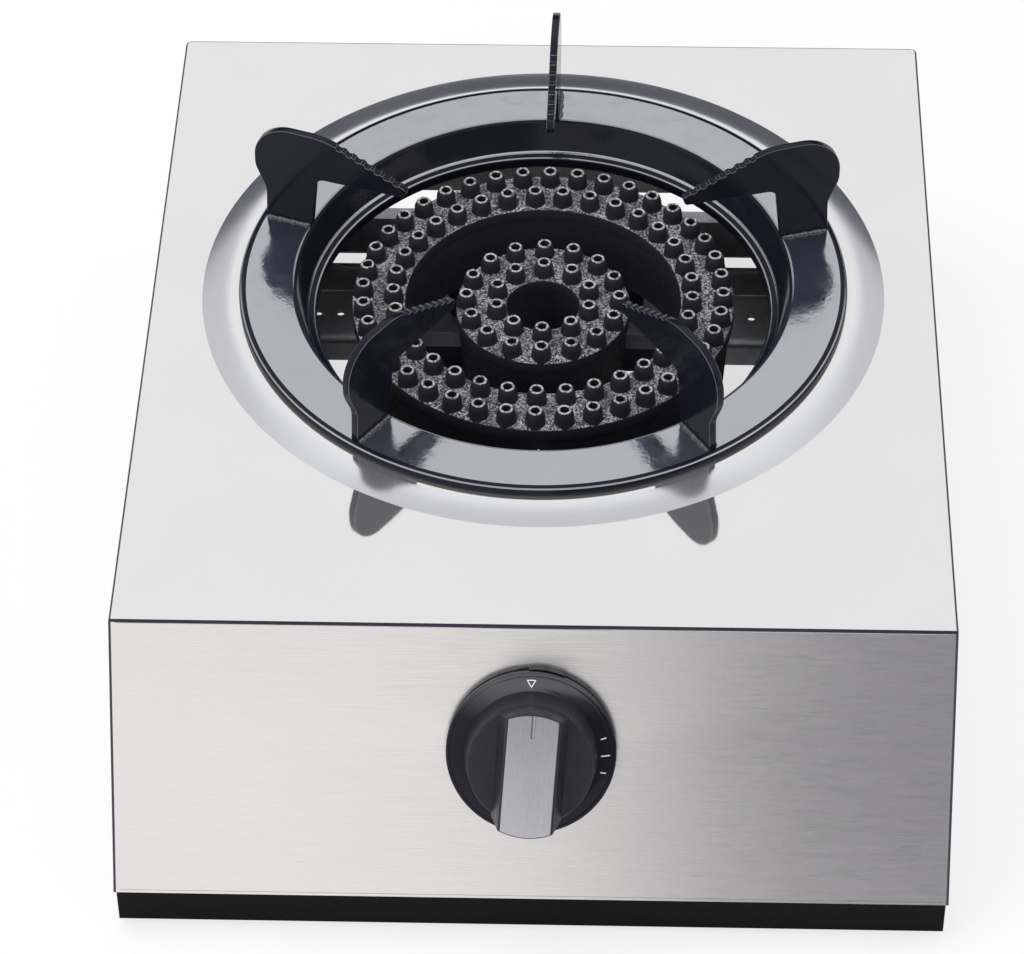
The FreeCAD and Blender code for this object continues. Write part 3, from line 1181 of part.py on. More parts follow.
def knob_grip():
    """Dark moulding: round face, tapered ridge across it, and a D-shaped bore on the stem."""
    body = new_body("knob_grip")
    revolve(body, [(0, "skirt_lift + 1.5"), (9, "skirt_lift + 1.5"), (9, "skirt_crown"),
                   ("grip_base", "skirt_crown"), ("grip_face_radius", "grip_face", 0.8), (0, "grip_face")])
    ridge = sketch_on(body, "XZ")
    outline(ridge, [("-ridge_foot_width/2", "grip_face - 0.5"), ("ridge_foot_width/2", "grip_face - 0.5"),
                    ("ridge_top_width/2", "ridge_top", 0.7), ("-ridge_top_width/2", "ridge_top", 0.7)])
    pad(body, ridge, "2*ridge_radius + 6", symmetric=True)
    trim = sketch_on(body, "XY", "grip_face")
    circle(trim, "ridge_radius + 12")
    circle(trim, "ridge_radius")
    pocket(body, trim, 30, reverse=True)
    under = sketch_on(body, "XY", "grip_face")
    circle(under, "ridge_radius + 12")
    circle(under, "grip_face_radius")
    pocket(body, under, 0.6)
    recess = sketch_on(body, "XY", "bar_top - bar_plate")
    round_bar(recess, "bar_width", "bar_length/2")
    pocket(body, recess, 5, reverse=True)
    bore = sketch_on(body, "XY", 0)
    circle(bore, "stem_radius")
    pocket(body, bore, 21, reverse=True)
    block(body, "AdditiveBox", {"Length": "stem_radius - stem_flat", "Width": "2*stem_flat + 0.6",
                                "Height": "21 - 8.2"}, "stem_flat + 0.05", "-stem_flat - 0.3", 8.2)
    in_panel(body, "grip_turn")


def knob_bar():
    """Satin metal inlay with a short pointer groove at one end."""
    body = new_body("knob_bar")
    plate = sketch_on(body, "XY", "bar_top - bar_plate")
    round_bar(plate, "bar_width", "bar_length/2")
    pad(body, plate, "bar_plate")
    pointer = sketch_on(body, "XY", "bar_top")
    outline(pointer, [(-0.6, "bar_length/2 - 8.2", 0.55), (0.6, "bar_length/2 - 8.2", 0.55),
                      (0.6, "bar_length/2 + 1"), (-0.6, "bar_length/2 + 1")])
    pocket(body, pointer, 0.4)
    in_panel(body, "grip_turn")


# ---------------------------------------------------------------- the whole stove

def build():
    casing()
    casing_screws()
    pan_ring()
    for index in range(5):
        prong(index)
    outer_burner_ring()
    inner_burner_cap()
    burner_body()
    mixing_tube("mixing_tube_outer", 1, "outer_riser_y")
    mixing_tube("mixing_tube_inner", -1, 0)
    air_shutter("air_shutter_outer", 1)
    air_shutter("air_shutter_inner", -1)
    injector("injector_outer", 1)
    injector("injector_inner", -1)
    valve_body()
    valve_plug()
    valve_stem()
    stem_spring()
    valve_cap()
    valve_bracket()
    valve_screws()
    gas_pipe()
    pipe_nuts()
    hose_nozzle()
    piezo_igniter()
    spark_electrode()
    electrode_clip()
    ignition_wire()
    knob_bezel()
    knob_skirt()
    knob_grip()
    knob_bar()


def check_document():
    """Stop on any failed object, and on any cut that removes nothing."""
    doc.recompute()
    for item in doc.Objects:
        if "Invalid" in item.State or "Error" in item.State:
            raise RuntimeError("%s failed: %s" % (item.Label, item.State))
        cuts = item.TypeId in ("PartDesign::Pocket", "PartDesign::Groove") or "Subtractive" in item.TypeId
        if cuts and item.Shape.Volume > item.BaseFeature.Shape.Volume - 0.01:
            raise RuntimeError("%s cuts nothing" % item.Label)


def sub_parts():
    """Every named piece: bodies and free shapes that are not inside a group of fasteners."""
    groups = [item for item in doc.Objects if item.TypeId == "Part::Compound"]
    inside = {member.Name for group in groups for member in group.Links}
    bodies = [item for item in doc.Objects if item.TypeId in ("PartDesign::Body", "Part::Feature")]
    return groups + [item for item in bodies if item.Name not in inside]


build()
check_document()
os.makedirs("parts", exist_ok=True)
for item in sub_parts():
    if item.Shape.isNull() or not item.Shape.isValid():
        raise RuntimeError("%s has no valid shape" % item.Label)
for item in sub_parts():
    item.Shape.exportStep("parts/%s.step" % item.Label)
print("%d sub-parts" % len(sub_parts()))
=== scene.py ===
import json
import math

import bmesh
import bpy
from bpy.props import FloatProperty, FloatVectorProperty, IntProperty, PointerProperty
from mathutils import Euler, Matrix, Vector


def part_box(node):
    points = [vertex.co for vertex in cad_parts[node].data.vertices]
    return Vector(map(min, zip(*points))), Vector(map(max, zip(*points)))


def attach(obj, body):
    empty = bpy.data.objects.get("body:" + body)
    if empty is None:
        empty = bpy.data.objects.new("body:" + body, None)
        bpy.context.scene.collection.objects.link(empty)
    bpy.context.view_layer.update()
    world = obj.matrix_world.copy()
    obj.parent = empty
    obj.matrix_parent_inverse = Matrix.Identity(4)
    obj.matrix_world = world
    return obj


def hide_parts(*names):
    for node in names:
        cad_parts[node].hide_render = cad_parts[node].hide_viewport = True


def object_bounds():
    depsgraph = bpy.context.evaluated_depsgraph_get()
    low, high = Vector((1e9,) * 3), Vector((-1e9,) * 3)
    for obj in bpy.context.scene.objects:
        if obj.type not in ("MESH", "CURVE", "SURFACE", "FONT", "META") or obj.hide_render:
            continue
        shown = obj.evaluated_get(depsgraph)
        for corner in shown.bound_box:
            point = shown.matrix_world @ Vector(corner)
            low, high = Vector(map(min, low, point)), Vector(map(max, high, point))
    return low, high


bl_info = {
    "name": "Table-top gas stove",
    "version": (1, 0, 0),
    "blender": (4, 5, 0),
    "location": "3D View > Sidebar > Stove",
    "description": "Finishes, castings, pan ring, knob and stage for a table-top gas stove",
    "category": "Object",
}

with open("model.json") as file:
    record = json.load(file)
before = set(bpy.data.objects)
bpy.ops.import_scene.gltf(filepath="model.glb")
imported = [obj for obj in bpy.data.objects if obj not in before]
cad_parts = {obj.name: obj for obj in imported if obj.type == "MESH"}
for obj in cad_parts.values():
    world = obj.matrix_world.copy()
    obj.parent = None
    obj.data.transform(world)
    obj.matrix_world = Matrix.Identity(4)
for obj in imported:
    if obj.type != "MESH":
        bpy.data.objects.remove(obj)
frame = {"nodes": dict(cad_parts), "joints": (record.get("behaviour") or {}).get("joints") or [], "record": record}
CAD_BOX = [list(corner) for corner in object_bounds()]
MM = 0.001

# Faces larger than this keep crisp rims, so that smoothing can't bend them.
FLAT_AREA = 60 * MM * MM

# Edges of CAD pieces where two faces turn by more than this, in degrees, are rounded.
EASED_ABOVE = 28

# Weld beads at each prong's foot: how many, the first one's radius from the burner's axis, their
# spacing, how far to the side and at which height they lie, and how much they vary.
BEADS, BEAD_START, BEAD_PITCH, BEAD_SIDE, BEAD_LEVEL, BEAD_SWELL = 9, 97.0, 1.85, 1.7, 4.8, 0.22

# Heights of the flat faces of the burner's two heads under the top cover's level, and the rows of
# ports on each: radius, number and the first port's angle in degrees.
OUTER_FACE, OUTER_ROWS = -6, ((69.3, 40, -1.2), (57.6, 33, 7))
INNER_FACE, INNER_ROWS = -9, ((29.5, 16, 0), (18.6, 10, 18))

# Turn of each port about itself from one to the next, in radians, so that no two look alike.
PORT_TWIST = 0.7

# Camera: its turns about X, Y and Z in degrees, and its place right of the middle, behind the fold
# between top and front, and above the top.
CAMERA_TURNS = (-45.72, -1.36, -0.77)
CAMERA_PLACE = (0.0258, -0.9794, 1.0277)

# Share of the floor's brightness that the camera sees as plain glow.
FLOOR_GLOW = 0.72


# ------------------------------------------------------------------ settings

def length(name, text, default, low=0.0, high=1.0):
    return FloatProperty(name=name, description=text, default=default, min=low, max=high, unit="LENGTH",
                         precision=5)


def share(name, text, default, high=1.0):
    return FloatProperty(name=name, description=text, default=default, min=0.0, max=high, subtype="FACTOR")


def colour(name, text, default):
    return FloatVectorProperty(name=name, description=text, default=default, size=3, min=0.0, max=1.0,
                               subtype="COLOR")


class CasingSettings(bpy.types.PropertyGroup):
    """Sheet metal of the casing."""
    top_colour: colour("Polished top", "Colour of the polished top cover", (0.80, 0.80, 0.805))
    # Painted shade: folds, bends and sheet edges are coloured near-black blue rather than in the steel's own
    # colour.
    bend_shade_colour: colour("Bends", "Colour of the folded edges", (0.05, 0.052, 0.07))
    top_haze: share("Top haze", "How much of the top scatters light and doesn't mirror it", 0.09)
    top_roughness: share("Top roughness", "Blur of the top cover's reflections", 0.045)
    panel_colour: colour("Brushed front", "Colour of the brushed front panel", (0.82, 0.795, 0.785))
    panel_roughness: share("Front roughness", "Blur of the front panel's reflections", 0.30)
    zinc_colour: colour("Galvanised sheet", "Colour of the brackets and rear sheets", (0.42, 0.43, 0.45))
    paint_colour: colour("Plinth paint", "Colour of the strip under the front panel",
                         (0.0006, 0.0006, 0.0009))
    # Partly painted reflection: the step's steel colour is tinted cooler than the flat sheet's, standing in for
    # the cool reflections on the slope.
    step_steel_and_cool_reflection_colour: colour("Pressed step", "Colour of the pressed step", (0.78, 0.78, 0.84))
    step_roughness: share("Step roughness", "Blur of the step's reflections", 0.16)
    step_outer: length("Step outside", "Outer radius of the pressed step round the pan ring", 130.8 * MM)
    step_inner: length("Step inside", "Inner radius of the pressed step", 120.0 * MM)
    step_rise: length("Step rise", "Height of the pressed step", 1.7 * MM)
    fold_width: length("Fold width", "Width of the front panel's folded sides", 0.9 * MM, high=3 * MM)
    step_curve: FloatProperty(name="Step curve", description="How fast the step flattens inwards",
                              default=1.5, min=1.0, max=3.0)
    step_cuts: IntProperty(name="Step cuts", description="Cuts across the pressed step", default=10, min=2,
                           max=32)
    step_steps: IntProperty(name="Step steps", description="Steps round the pressed step", default=288,
                            min=48, max=512)
    edge_round: length("Edge round", "Radius on the edges of the sheets", 0.3 * MM, high=1 * MM)


class PanRingSettings(bpy.types.PropertyGroup):
    """Enamelled pan ring and its prongs."""
    enamel_colour: colour("Enamel", "Colour of the enamel", (0.010, 0.010, 0.018))
    # Painted light: the enamel comes in lit and shaded copies. The upper flats and thin bands get a paler, bluer
    # colour and a far higher index as painted highlights, the prongs' rounded edges a higher index as painted
    # highlights, and upright faces a lower index than real enamel as painted shade.
    lit_flat_colour: colour("Flat enamel", "Colour of the glassy upper faces", (0.03, 0.035, 0.06))
    lit_flat_mirror: FloatProperty(name="Flat mirror", description="Index of the glassy upper faces",
                               default=5.4, min=1.0, max=6.0)
    highlight_edge_mirror: FloatProperty(name="Edge mirror", description="Index of the glassy rounded edges",
                               default=2.3, min=1.0, max=6.0)
    shaded_plain_mirror: FloatProperty(name="Plain mirror", description="Index of the upright faces", default=1.27,
                                min=1.0, max=6.0)
    orange_peel: share("Orange peel", "Strength of the enamel's ripples", 0.25)
    prong_round: length("Prong round", "Radius of the enamel on a prong's edges", 0.9 * MM, high=1.4 * MM)
    steps: IntProperty(name="Steps", description="Steps round the ring", default=180, min=48, max=360)


class BurnerSettings(bpy.types.PropertyGroup):
    """Cast burner heads."""
    iron_colour: colour("Casting", "Colour of the rough casting", (0.030, 0.030, 0.036))
    grain_colour: colour("Grain", "Colour of the bare grains in the casting's skin", (0.62, 0.62, 0.66))
    rim_colour: colour("Port rims", "Colour of the rubbed rims of the ports", (0.62, 0.62, 0.66))
    grain_size: length("Grain size", "Size of the casting's grains", 0.75 * MM, low=0.1 * MM, high=3 * MM)
    port_steps: IntProperty(name="Port steps", description="Steps round one port", default=16, min=8,
                            max=32)


class KnobSettings(bpy.types.PropertyGroup):
    """Knob, its fixed plate and its printed marks."""
    skirt_colour: colour("Skirt", "Colour of the glossy skirt", (0.010, 0.010, 0.016))
    grip_colour: colour("Grip", "Colour of the grip", (0.022, 0.021, 0.028))
    bar_colour: colour("Bar", "Colour of the satin metal bar", (0.56, 0.56, 0.585))
    mark_colour: colour("Marks", "Colour of the printed marks", (0.85, 0.85, 0.85))
    steps: IntProperty(name="Steps", description="Steps round the skirt", default=128, min=32, max=256)


class StageSettings(bpy.types.PropertyGroup):
    """Floor, lamps and camera."""
    surround: share("Surround light", "Strength of the white surround", 0.95, 2.0)
    ceiling: share("Ceiling light", "Strength of the tent overhead and in its far corners", 0.64, 2.0)
    key_power: FloatProperty(name="Key lamp", description="Power of the overhead lamp", default=14.0,
                             min=0.0, max=200.0, unit="POWER")
    lens: FloatProperty(name="Lens", description="Camera's focal length", default=141.52, min=20, max=300,
                        unit="CAMERA")


# ------------------------------------------------------------------ finishes

class Finish:
    """A procedural material: one shader, fed from the piece's own coordinates."""

    def __init__(self, name, colour=(0.5, 0.5, 0.5), metallic=0.0, roughness=0.5, **sockets):
        self.material = bpy.data.materials.new(name)
        self.material.use_nodes = True
        self.tree = self.material.node_tree
        self.shader = self.tree.nodes["Principled BSDF"]
        self.shader.inputs["Base Color"].default_value = (*colour, 1)
        self.shader.inputs["Metallic"].default_value = metallic
        self.shader.inputs["Roughness"].default_value = roughness
        for socket, value in sockets.items():
            self.shader.inputs[socket.replace("_", " ")].default_value = value
        self.place = self.node("ShaderNodeTexCoord").outputs["Object"]
        self.relief = None

    def node(self, kind, **settings):
        item = self.tree.nodes.new(kind)
        for name, value in settings.items():
            setattr(item, name, value)
        return item

    def join(self, output, socket):
        self.tree.links.new(output, socket)

    def stretched(self, stretch, turn=(0, 0, 0)):
        mapping = self.node("ShaderNodeMapping")
        mapping.inputs["Scale"].default_value = stretch
        mapping.inputs["Rotation"].default_value = turn
        self.join(self.place, mapping.inputs["Vector"])
        return mapping.outputs["Vector"]

    def noise(self, size, detail=3.0, stretch=None, turn=(0, 0, 0), rough=0.5):
        """Cloudy pattern whose blobs are about size metres across."""
        item = self.node("ShaderNodeTexNoise")
        item.inputs["Scale"].default_value = 1 / size
        item.inputs["Detail"].default_value = detail
        item.inputs["Roughness"].default_value = rough
        self.join(self.stretched(stretch, turn) if stretch else self.place, item.inputs["Vector"])
        return item.outputs["Fac"]

    def cells(self, size, output="Distance", feature="F1"):
        item = self.node("ShaderNodeTexVoronoi", feature=feature)
        item.inputs["Scale"].default_value = 1 / size
        self.join(self.place, item.inputs["Vector"])
        return item.outputs[output]

    def spread(self, value, low, high, to_low=0.0, to_high=1.0):
        """Maps low..high of a pattern to to_low..to_high."""
        item = self.node("ShaderNodeMapRange")
        for name, number in (("From Min", low), ("From Max", high), ("To Min", to_low),
                             ("To Max", to_high)):
            item.inputs[name].default_value = number
        self.join(value, item.inputs["Value"])
        return item.outputs["Result"]

    def both(self, first, second, operation="MULTIPLY"):
        item = self.node("ShaderNodeMath", operation=operation)
        for socket, value in zip(item.inputs, (first, second)):
            if isinstance(value, (int, float)):
                socket.default_value = value
            else:
                self.join(value, socket)
        return item.outputs["Value"]

    def height(self, low, high, to_low=0.0, to_high=1.0):
        """Runs from to_low at the height low to to_high at the height high."""
        apart = self.node("ShaderNodeSeparateXYZ")
        self.join(self.place, apart.inputs["Vector"])
        return self.spread(apart.outputs["Z"], low, high, to_low, to_high)

    def edges(self, radius):
        """Near 1 along sharp edges, 0 on flats."""
        bevel = self.node("ShaderNodeBevel", samples=4)
        bevel.inputs["Radius"].default_value = radius
        straight = self.node("ShaderNodeNewGeometry")
        across = self.node("ShaderNodeVectorMath", operation="DOT_PRODUCT")
        self.join(bevel.outputs["Normal"], across.inputs[0])
        self.join(straight.outputs["Normal"], across.inputs[1])
        return self.spread(across.outputs["Value"], 0.98, 0.75)

    def tint(self, mask, other):
        """Blends the colour so far towards another where the mask is 1."""
        target = self.shader.inputs["Base Color"]
        mix = self.node("ShaderNodeMix", data_type="RGBA")
        if target.is_linked:
            self.join(target.links[0].from_socket, mix.inputs["A"])
        else:
            mix.inputs["A"].default_value = target.default_value[:]
        mix.inputs["B"].default_value = (*other, 1)
        self.join(mask, mix.inputs["Factor"])
        self.join(mix.outputs["Result"], target)
        return self

    def dull(self, pattern, low, high, from_low=0.3, from_high=0.7):
        """Roughness that wanders between low and high with a pattern."""
        self.join(self.spread(pattern, from_low, from_high, low, high), self.shader.inputs["Roughness"])
        return self

    def bump(self, pattern, depth, strength=1.0):
        """Raises the surface by a pattern, depth metres at most. Bumps stack."""
        item = self.node("ShaderNodeBump")
        item.inputs["Distance"].default_value = depth
        item.inputs["Strength"].default_value = strength
        self.join(pattern, item.inputs["Height"])
        if self.relief:
            self.join(self.relief, item.inputs["Normal"])
        self.relief = item.outputs["Normal"]
        self.join(self.relief, self.shader.inputs["Normal"])
        return self


def polished_steel(s):
    """Near-mirror sheet with a faint rolling grain and a slow wave, as thin sheet has."""
    f = Finish("polished_steel", s.top_colour, metallic=1 - s.top_haze)
    grain = f.noise(0.4 * MM, 2, (1, 0.04, 1))
    f.dull(f.noise(28 * MM, 3), s.top_roughness * 0.7, s.top_roughness * 1.5)
    f.tint(f.spread(f.noise(60 * MM, 2), 0.35, 0.75, 0, 0.35), [c * 0.96 for c in s.top_colour])
    f.bump(f.noise(90 * MM, 1), 0.25 * MM, 0.35)
    f.bump(grain, 0.004 * MM, 0.3)
    return f.material


def pressed_steel(s):
    """The pressed step, a little duller than the flat sheet, with a painted cool reflection tint making it cooler.
    """
    f = Finish("pressed_steel", s.step_steel_and_cool_reflection_colour, metallic=1 - s.top_haze)
    f.dull(f.noise(28 * MM, 3), s.step_roughness * 0.9, s.step_roughness * 1.2)
    f.tint(f.spread(f.noise(40 * MM, 2), 0.4, 0.75, 0, 0.3), [c * 0.95 for c in s.step_steel_and_cool_reflection_colour])
    f.bump(f.noise(0.4 * MM, 2, (1, 0.04, 1)), 0.004 * MM, 0.3)
    return f.material


def bend_shade_steel(s):
    """Painted shade on folded edges: near-black and dull where the bends show dark, with a slight mottle."""
    f = Finish("bend_shade_steel", s.bend_shade_colour, IOR=1.2)
    f.tint(f.spread(f.noise(6 * MM, 4), 0.45, 0.75, 0, 0.4), [c * 1.3 for c in s.bend_shade_colour])
    f.dull(f.noise(2 * MM, 3), 0.4, 0.55)
    f.bump(f.noise(1.2 * MM, 2), 0.01 * MM, 0.4)
    return f.material


def brushed_steel(s):
    """Fine horizontal brushing with streaks of slightly different gloss."""
    f = Finish("brushed_steel", s.panel_colour, metallic=1.0, Anisotropic=0.35)
    fine = f.noise(0.22 * MM, 3, (0.012, 1, 1))
    broad = f.noise(1.6 * MM, 2, (0.01, 1, 1))
    f.tint(f.spread(fine, 0.3, 0.7, 0, 0.3), [c * 0.9 for c in s.panel_colour])
    f.tint(f.spread(broad, 0.4, 0.7, 0, 0.12), [min(1, c * 1.04) for c in s.panel_colour])
    f.tint(f.spread(f.noise(70 * MM, 2), 0.45, 0.7, 0, 0.18), [c * 0.92 for c in s.panel_colour])
    f.dull(fine, s.panel_roughness * 0.85, s.panel_roughness * 1.2)
    f.bump(fine, 0.012 * MM, 0.25)
    return f.material


def satin_steel(s):
    """Plain stainless for the sides, with handling marks."""
    f = Finish("satin_steel", [c * 0.93 for c in s.panel_colour], metallic=1.0)
    fine = f.noise(0.3 * MM, 3, (1, 0.012, 1))
    f.tint(f.spread(fine, 0.3, 0.7, 0, 0.35), [c * 0.8 for c in s.panel_colour])
    f.tint(f.spread(f.noise(45 * MM, 4), 0.5, 0.75, 0, 0.25), [c * 0.85 for c in s.panel_colour])
    f.dull(f.noise(9 * MM, 4), 0.27, 0.4)
    f.bump(fine, 0.01 * MM, 0.4)
    return f.material


def galvanised(s):
    """Zinc spangle with white bloom."""
    f = Finish("galvanised_sheet", s.zinc_colour, metallic=0.85)
    spangle = f.cells(5 * MM, "Color")
    f.tint(f.spread(spangle, 0.2, 0.9, 0, 0.5), [c * 1.25 for c in s.zinc_colour])
    f.tint(f.spread(f.noise(14 * MM, 5), 0.52, 0.72, 0, 0.5), [c * 0.72 for c in s.zinc_colour])
    f.dull(f.noise(3 * MM, 4), 0.32, 0.55)
    f.bump(f.noise(0.8 * MM, 3), 0.02 * MM, 0.4)
    return f.material


def black_paint(s):
    f = Finish("satin_black_paint", s.paint_colour, roughness=0.3, IOR=1.18)
    f.tint(f.edges(0.5 * MM), (0.03, 0.03, 0.034))
    f.dull(f.noise(12 * MM, 4), 0.2, 0.38)
    f.bump(f.noise(1.3 * MM, 3), 0.02 * MM, 0.35)
    return f.material


def enamel(s, name, reflection, base=None):
    """Glass enamel: black, glossy, with slow ripples, fine peel and a few pinholes."""
    # Painted cool reflection: the enamel's reflections are tinted blue.
    f = Finish(name, base or s.enamel_colour, IOR=reflection, Specular_Tint=(0.93, 0.95, 1.0, 1.0))
    f.tint(f.spread(f.noise(18 * MM, 4), 0.5, 0.75, 0, 0.5), (0.009, 0.010, 0.016))
    f.dull(f.noise(6 * MM, 4), 0.08, 0.17)
    f.bump(f.noise(7 * MM, 2), 0.35 * MM, s.orange_peel)
    f.bump(f.noise(1.3 * MM, 2), 0.07 * MM, 1.6 * s.orange_peel)
    f.bump(f.spread(f.cells(3.2 * MM), 0.0, 0.06), 0.05 * MM, 0.4)
    return f.material


def rough_casting(s):
    """Blackened sand casting whose bare grains glitter."""
    f = Finish("rough_casting", s.iron_colour, metallic=0.25, roughness=0.7)
    grains = f.noise(s.grain_size, 4, rough=0.65)
    patches = f.noise(9 * MM, 3)
    glints = f.both(f.spread(grains, 0.47, 0.58), f.spread(patches, 0.36, 0.62, 0.45, 1.0))
    f.tint(glints, s.grain_colour)
    f.dull(grains, 0.42, 0.8)
    f.bump(f.noise(1.9 * MM, 3), 0.22 * MM, 0.6)
    f.bump(grains, 0.16 * MM, 0.9)
    return f.material


def port_wall(s):
    """Smooth blackened skin on the cones of the ports and the heads' sides."""
    f = Finish("casting_skin", [c * 0.8 for c in s.iron_colour], roughness=0.45, IOR=1.2)
    f.tint(f.spread(f.noise(3 * MM, 4), 0.5, 0.75, 0, 0.4), (0.034, 0.034, 0.046))
    f.dull(f.noise(1.2 * MM, 4), 0.28, 0.55)
    f.bump(f.noise(0.9 * MM, 3), 0.08 * MM, 0.4)
    return f.material


def port_rim(s):
    """Rubbed rim of a port."""
    f = Finish("rubbed_port_rim", s.rim_colour, metallic=0.6, roughness=0.45)
    grains = f.noise(0.9 * MM, 3, rough=0.7)
    f.tint(f.spread(grains, 0.47, 0.60), [c * 0.12 for c in s.rim_colour])
    f.dull(grains, 0.3, 0.7)
    f.bump(grains, 0.1 * MM, 0.7)
    return f.material


# Partly soot, mostly painted shade: near-black on the walls and floor of each blind port hole, standing in for the
# shade deep inside the port.
def soot_and_hole_shade():
    f = Finish("soot_and_hole_shade", (0.004, 0.004, 0.004), roughness=0.9)
    f.tint(f.spread(f.noise(2 * MM, 3), 0.4, 0.8), (0.012, 0.011, 0.01))
    f.dull(f.noise(1 * MM, 2), 0.8, 0.95)
    f.bump(f.noise(0.6 * MM, 2), 0.05 * MM, 0.5)
    return f.material


def cast_metal(name, base, metallic, light):
    """As-cast metal with sand texture and brighter rubbed edges."""
    f = Finish(name, base, metallic=metallic, roughness=0.6)
    f.tint(f.spread(f.noise(7 * MM, 5), 0.45, 0.75, 0, 0.6), [c * 0.6 for c in base])
    f.tint(f.edges(0.8 * MM), light)
    f.dull(f.noise(1.5 * MM, 4), 0.45, 0.75)
    f.bump(f.noise(0.9 * MM, 4), 0.12 * MM, 0.6)
    return f.material


def machined(name, base, tarnish, roughness=0.25):
    """Turned metal with fine tool marks and a little tarnish."""
    f = Finish(name, base, metallic=1.0, roughness=roughness)
    f.tint(f.spread(f.noise(5 * MM, 5), 0.5, 0.75, 0, 0.55), tarnish)
    f.dull(f.noise(1.4 * MM, 4), roughness * 0.8, roughness * 1.7)
    f.bump(f.noise(0.25 * MM, 2, (1, 6, 1)), 0.01 * MM, 0.5)
    return f.material


def moulded(name, base, gloss, grain=0.25, reflection=1.45):
    """Moulded plastic: fine grain, uneven gloss and slightly paler edges."""
    f = Finish(name, base, roughness=gloss, IOR=reflection)
    f.tint(f.edges(0.4 * MM), [min(1, c * 1.6 + 0.01) for c in base])
    f.tint(f.spread(f.noise(16 * MM, 3), 0.45, 0.75, 0, 0.4), [c * 0.8 for c in base])
    f.dull(f.noise(4 * MM, 5), gloss * 0.8, gloss * 1.35)
    f.bump(f.noise(0.35 * MM, 2), 0.015 * MM, grain)
    return f.material


def knob_gloss_painted_highlight(s):
    """Polished skirt of the knob, with a painted highlight: it reflects more towards its top."""
    f = Finish("knob_gloss_painted_highlight", s.skirt_colour, roughness=0.16)
    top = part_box("knob_skirt")[1][2]
    # Painted highlight: the reflection index rises from 1.25 to 1.95 towards the skirt's top.
    f.join(f.height(top - 14 * MM, top - 4 * MM, 1.25, 1.95), f.shader.inputs["IOR"])
    f.tint(f.spread(f.noise(16 * MM, 3), 0.45, 0.75, 0, 0.4), [c * 0.8 for c in s.skirt_colour])
    f.dull(f.noise(4 * MM, 5), 0.12, 0.2)
    f.bump(f.noise(0.35 * MM, 2), 0.015 * MM, 0.1)
    return f.material


def satin_bar(s):
    """Satin metal brushed along its length, with painted shade darkening it towards its top."""
    f = Finish("satin_bar", s.bar_colour, metallic=1.0, Anisotropic=0.3)
    brushed = f.noise(0.16 * MM, 2, (1, 0.03, 0.03), (0.5, 0, 0))
    f.tint(f.spread(brushed, 0.35, 0.7, 0, 0.15), [c * 0.92 for c in s.bar_colour])
    low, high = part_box("knob_bar")
    # Painted shade: the bar darkens towards its top.
    f.tint(f.height(low[2], high[2], 0, 0.8), [c * 0.6 for c in s.bar_colour])
    f.dull(brushed, 0.24, 0.36)
    f.bump(brushed, 0.006 * MM, 0.4)
    return f.material


def printed(s):
    f = Finish("printed_mark", s.mark_colour, roughness=0.45)
    f.tint(f.spread(f.noise(0.6 * MM, 3), 0.5, 0.75, 0, 0.4), [c * 0.85 for c in s.mark_colour])
    f.dull(f.noise(0.8 * MM, 2), 0.35, 0.55)
    f.bump(f.noise(0.3 * MM, 2), 0.01 * MM, 0.3)
    return f.material


def rubber():
    f = Finish("foot_rubber", (0.018, 0.018, 0.019), roughness=0.75)
    f.tint(f.spread(f.noise(4 * MM, 5), 0.5, 0.75, 0, 0.7), (0.045, 0.043, 0.04))
    f.dull(f.noise(2 * MM, 4), 0.6, 0.85)
    f.bump(f.noise(0.5 * MM, 3), 0.05 * MM, 0.5)
    return f.material


def glazed_ceramic():
    f = Finish("glazed_ceramic", (0.80, 0.77, 0.70), roughness=0.2)
    f.tint(f.spread(f.noise(3 * MM, 4), 0.5, 0.75, 0, 0.4), (0.62, 0.57, 0.48))
    f.dull(f.noise(2 * MM, 3), 0.12, 0.3)
    f.bump(f.noise(1.5 * MM, 2), 0.03 * MM, 0.3)
    return f.material


# ------------------------------------------------------------------ making pieces

BODY_OF = {node: body for body, nodes in frame["record"]["behaviour"]["bodies"].items() for node in nodes}


def keep(bm, name, finishes, nodes, crease=30, body=None):
    """Writes a finished shape to a piece that stands for the nodes and rides on their body."""
    mesh = bpy.data.meshes.new(name)
    bm.to_mesh(mesh)
    bm.free()
    for finish in finishes:
        mesh.materials.append(finish)
    mesh.polygons.foreach_set("use_smooth", [True] * len(mesh.polygons))
    mesh.set_sharp_from_angle(angle=math.radians(crease))
    flat_rims = {key for face in mesh.polygons if face.area > FLAT_AREA for key in face.edge_keys}
    for edge in mesh.edges:
        edge.use_edge_sharp = edge.use_edge_sharp or edge.key in flat_rims
    piece = bpy.data.objects.new(name, mesh)
    bpy.context.scene.collection.objects.link(piece)
    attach(piece, body or BODY_OF[nodes[0]])
    if nodes:
        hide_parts(*nodes)
    return piece


def joined_copy(node):
    """The node's own shape with its loose triangles joined and its flats made whole."""
    bm = bmesh.new()
    bm.from_mesh(frame["nodes"][node].data)
    bmesh.ops.remove_doubles(bm, verts=bm.verts, dist=0.002 * MM)
    bmesh.ops.dissolve_limit(bm, angle_limit=math.radians(0.3), verts=bm.verts, edges=bm.edges)
    return bm


def round_edges(bm, radius, segments, sharper_than, finish_index=-1):
    """Rounds every edge that turns by more than sharper_than degrees."""
    sharp = [e for e in bm.edges if e.is_manifold and math.degrees(e.calc_face_angle(0)) > sharper_than]
    bmesh.ops.bevel(bm, geom=sharp, offset=radius, offset_type="OFFSET", segments=segments, profile=0.5,
                    affect="EDGES", clamp_overlap=True, material=finish_index)


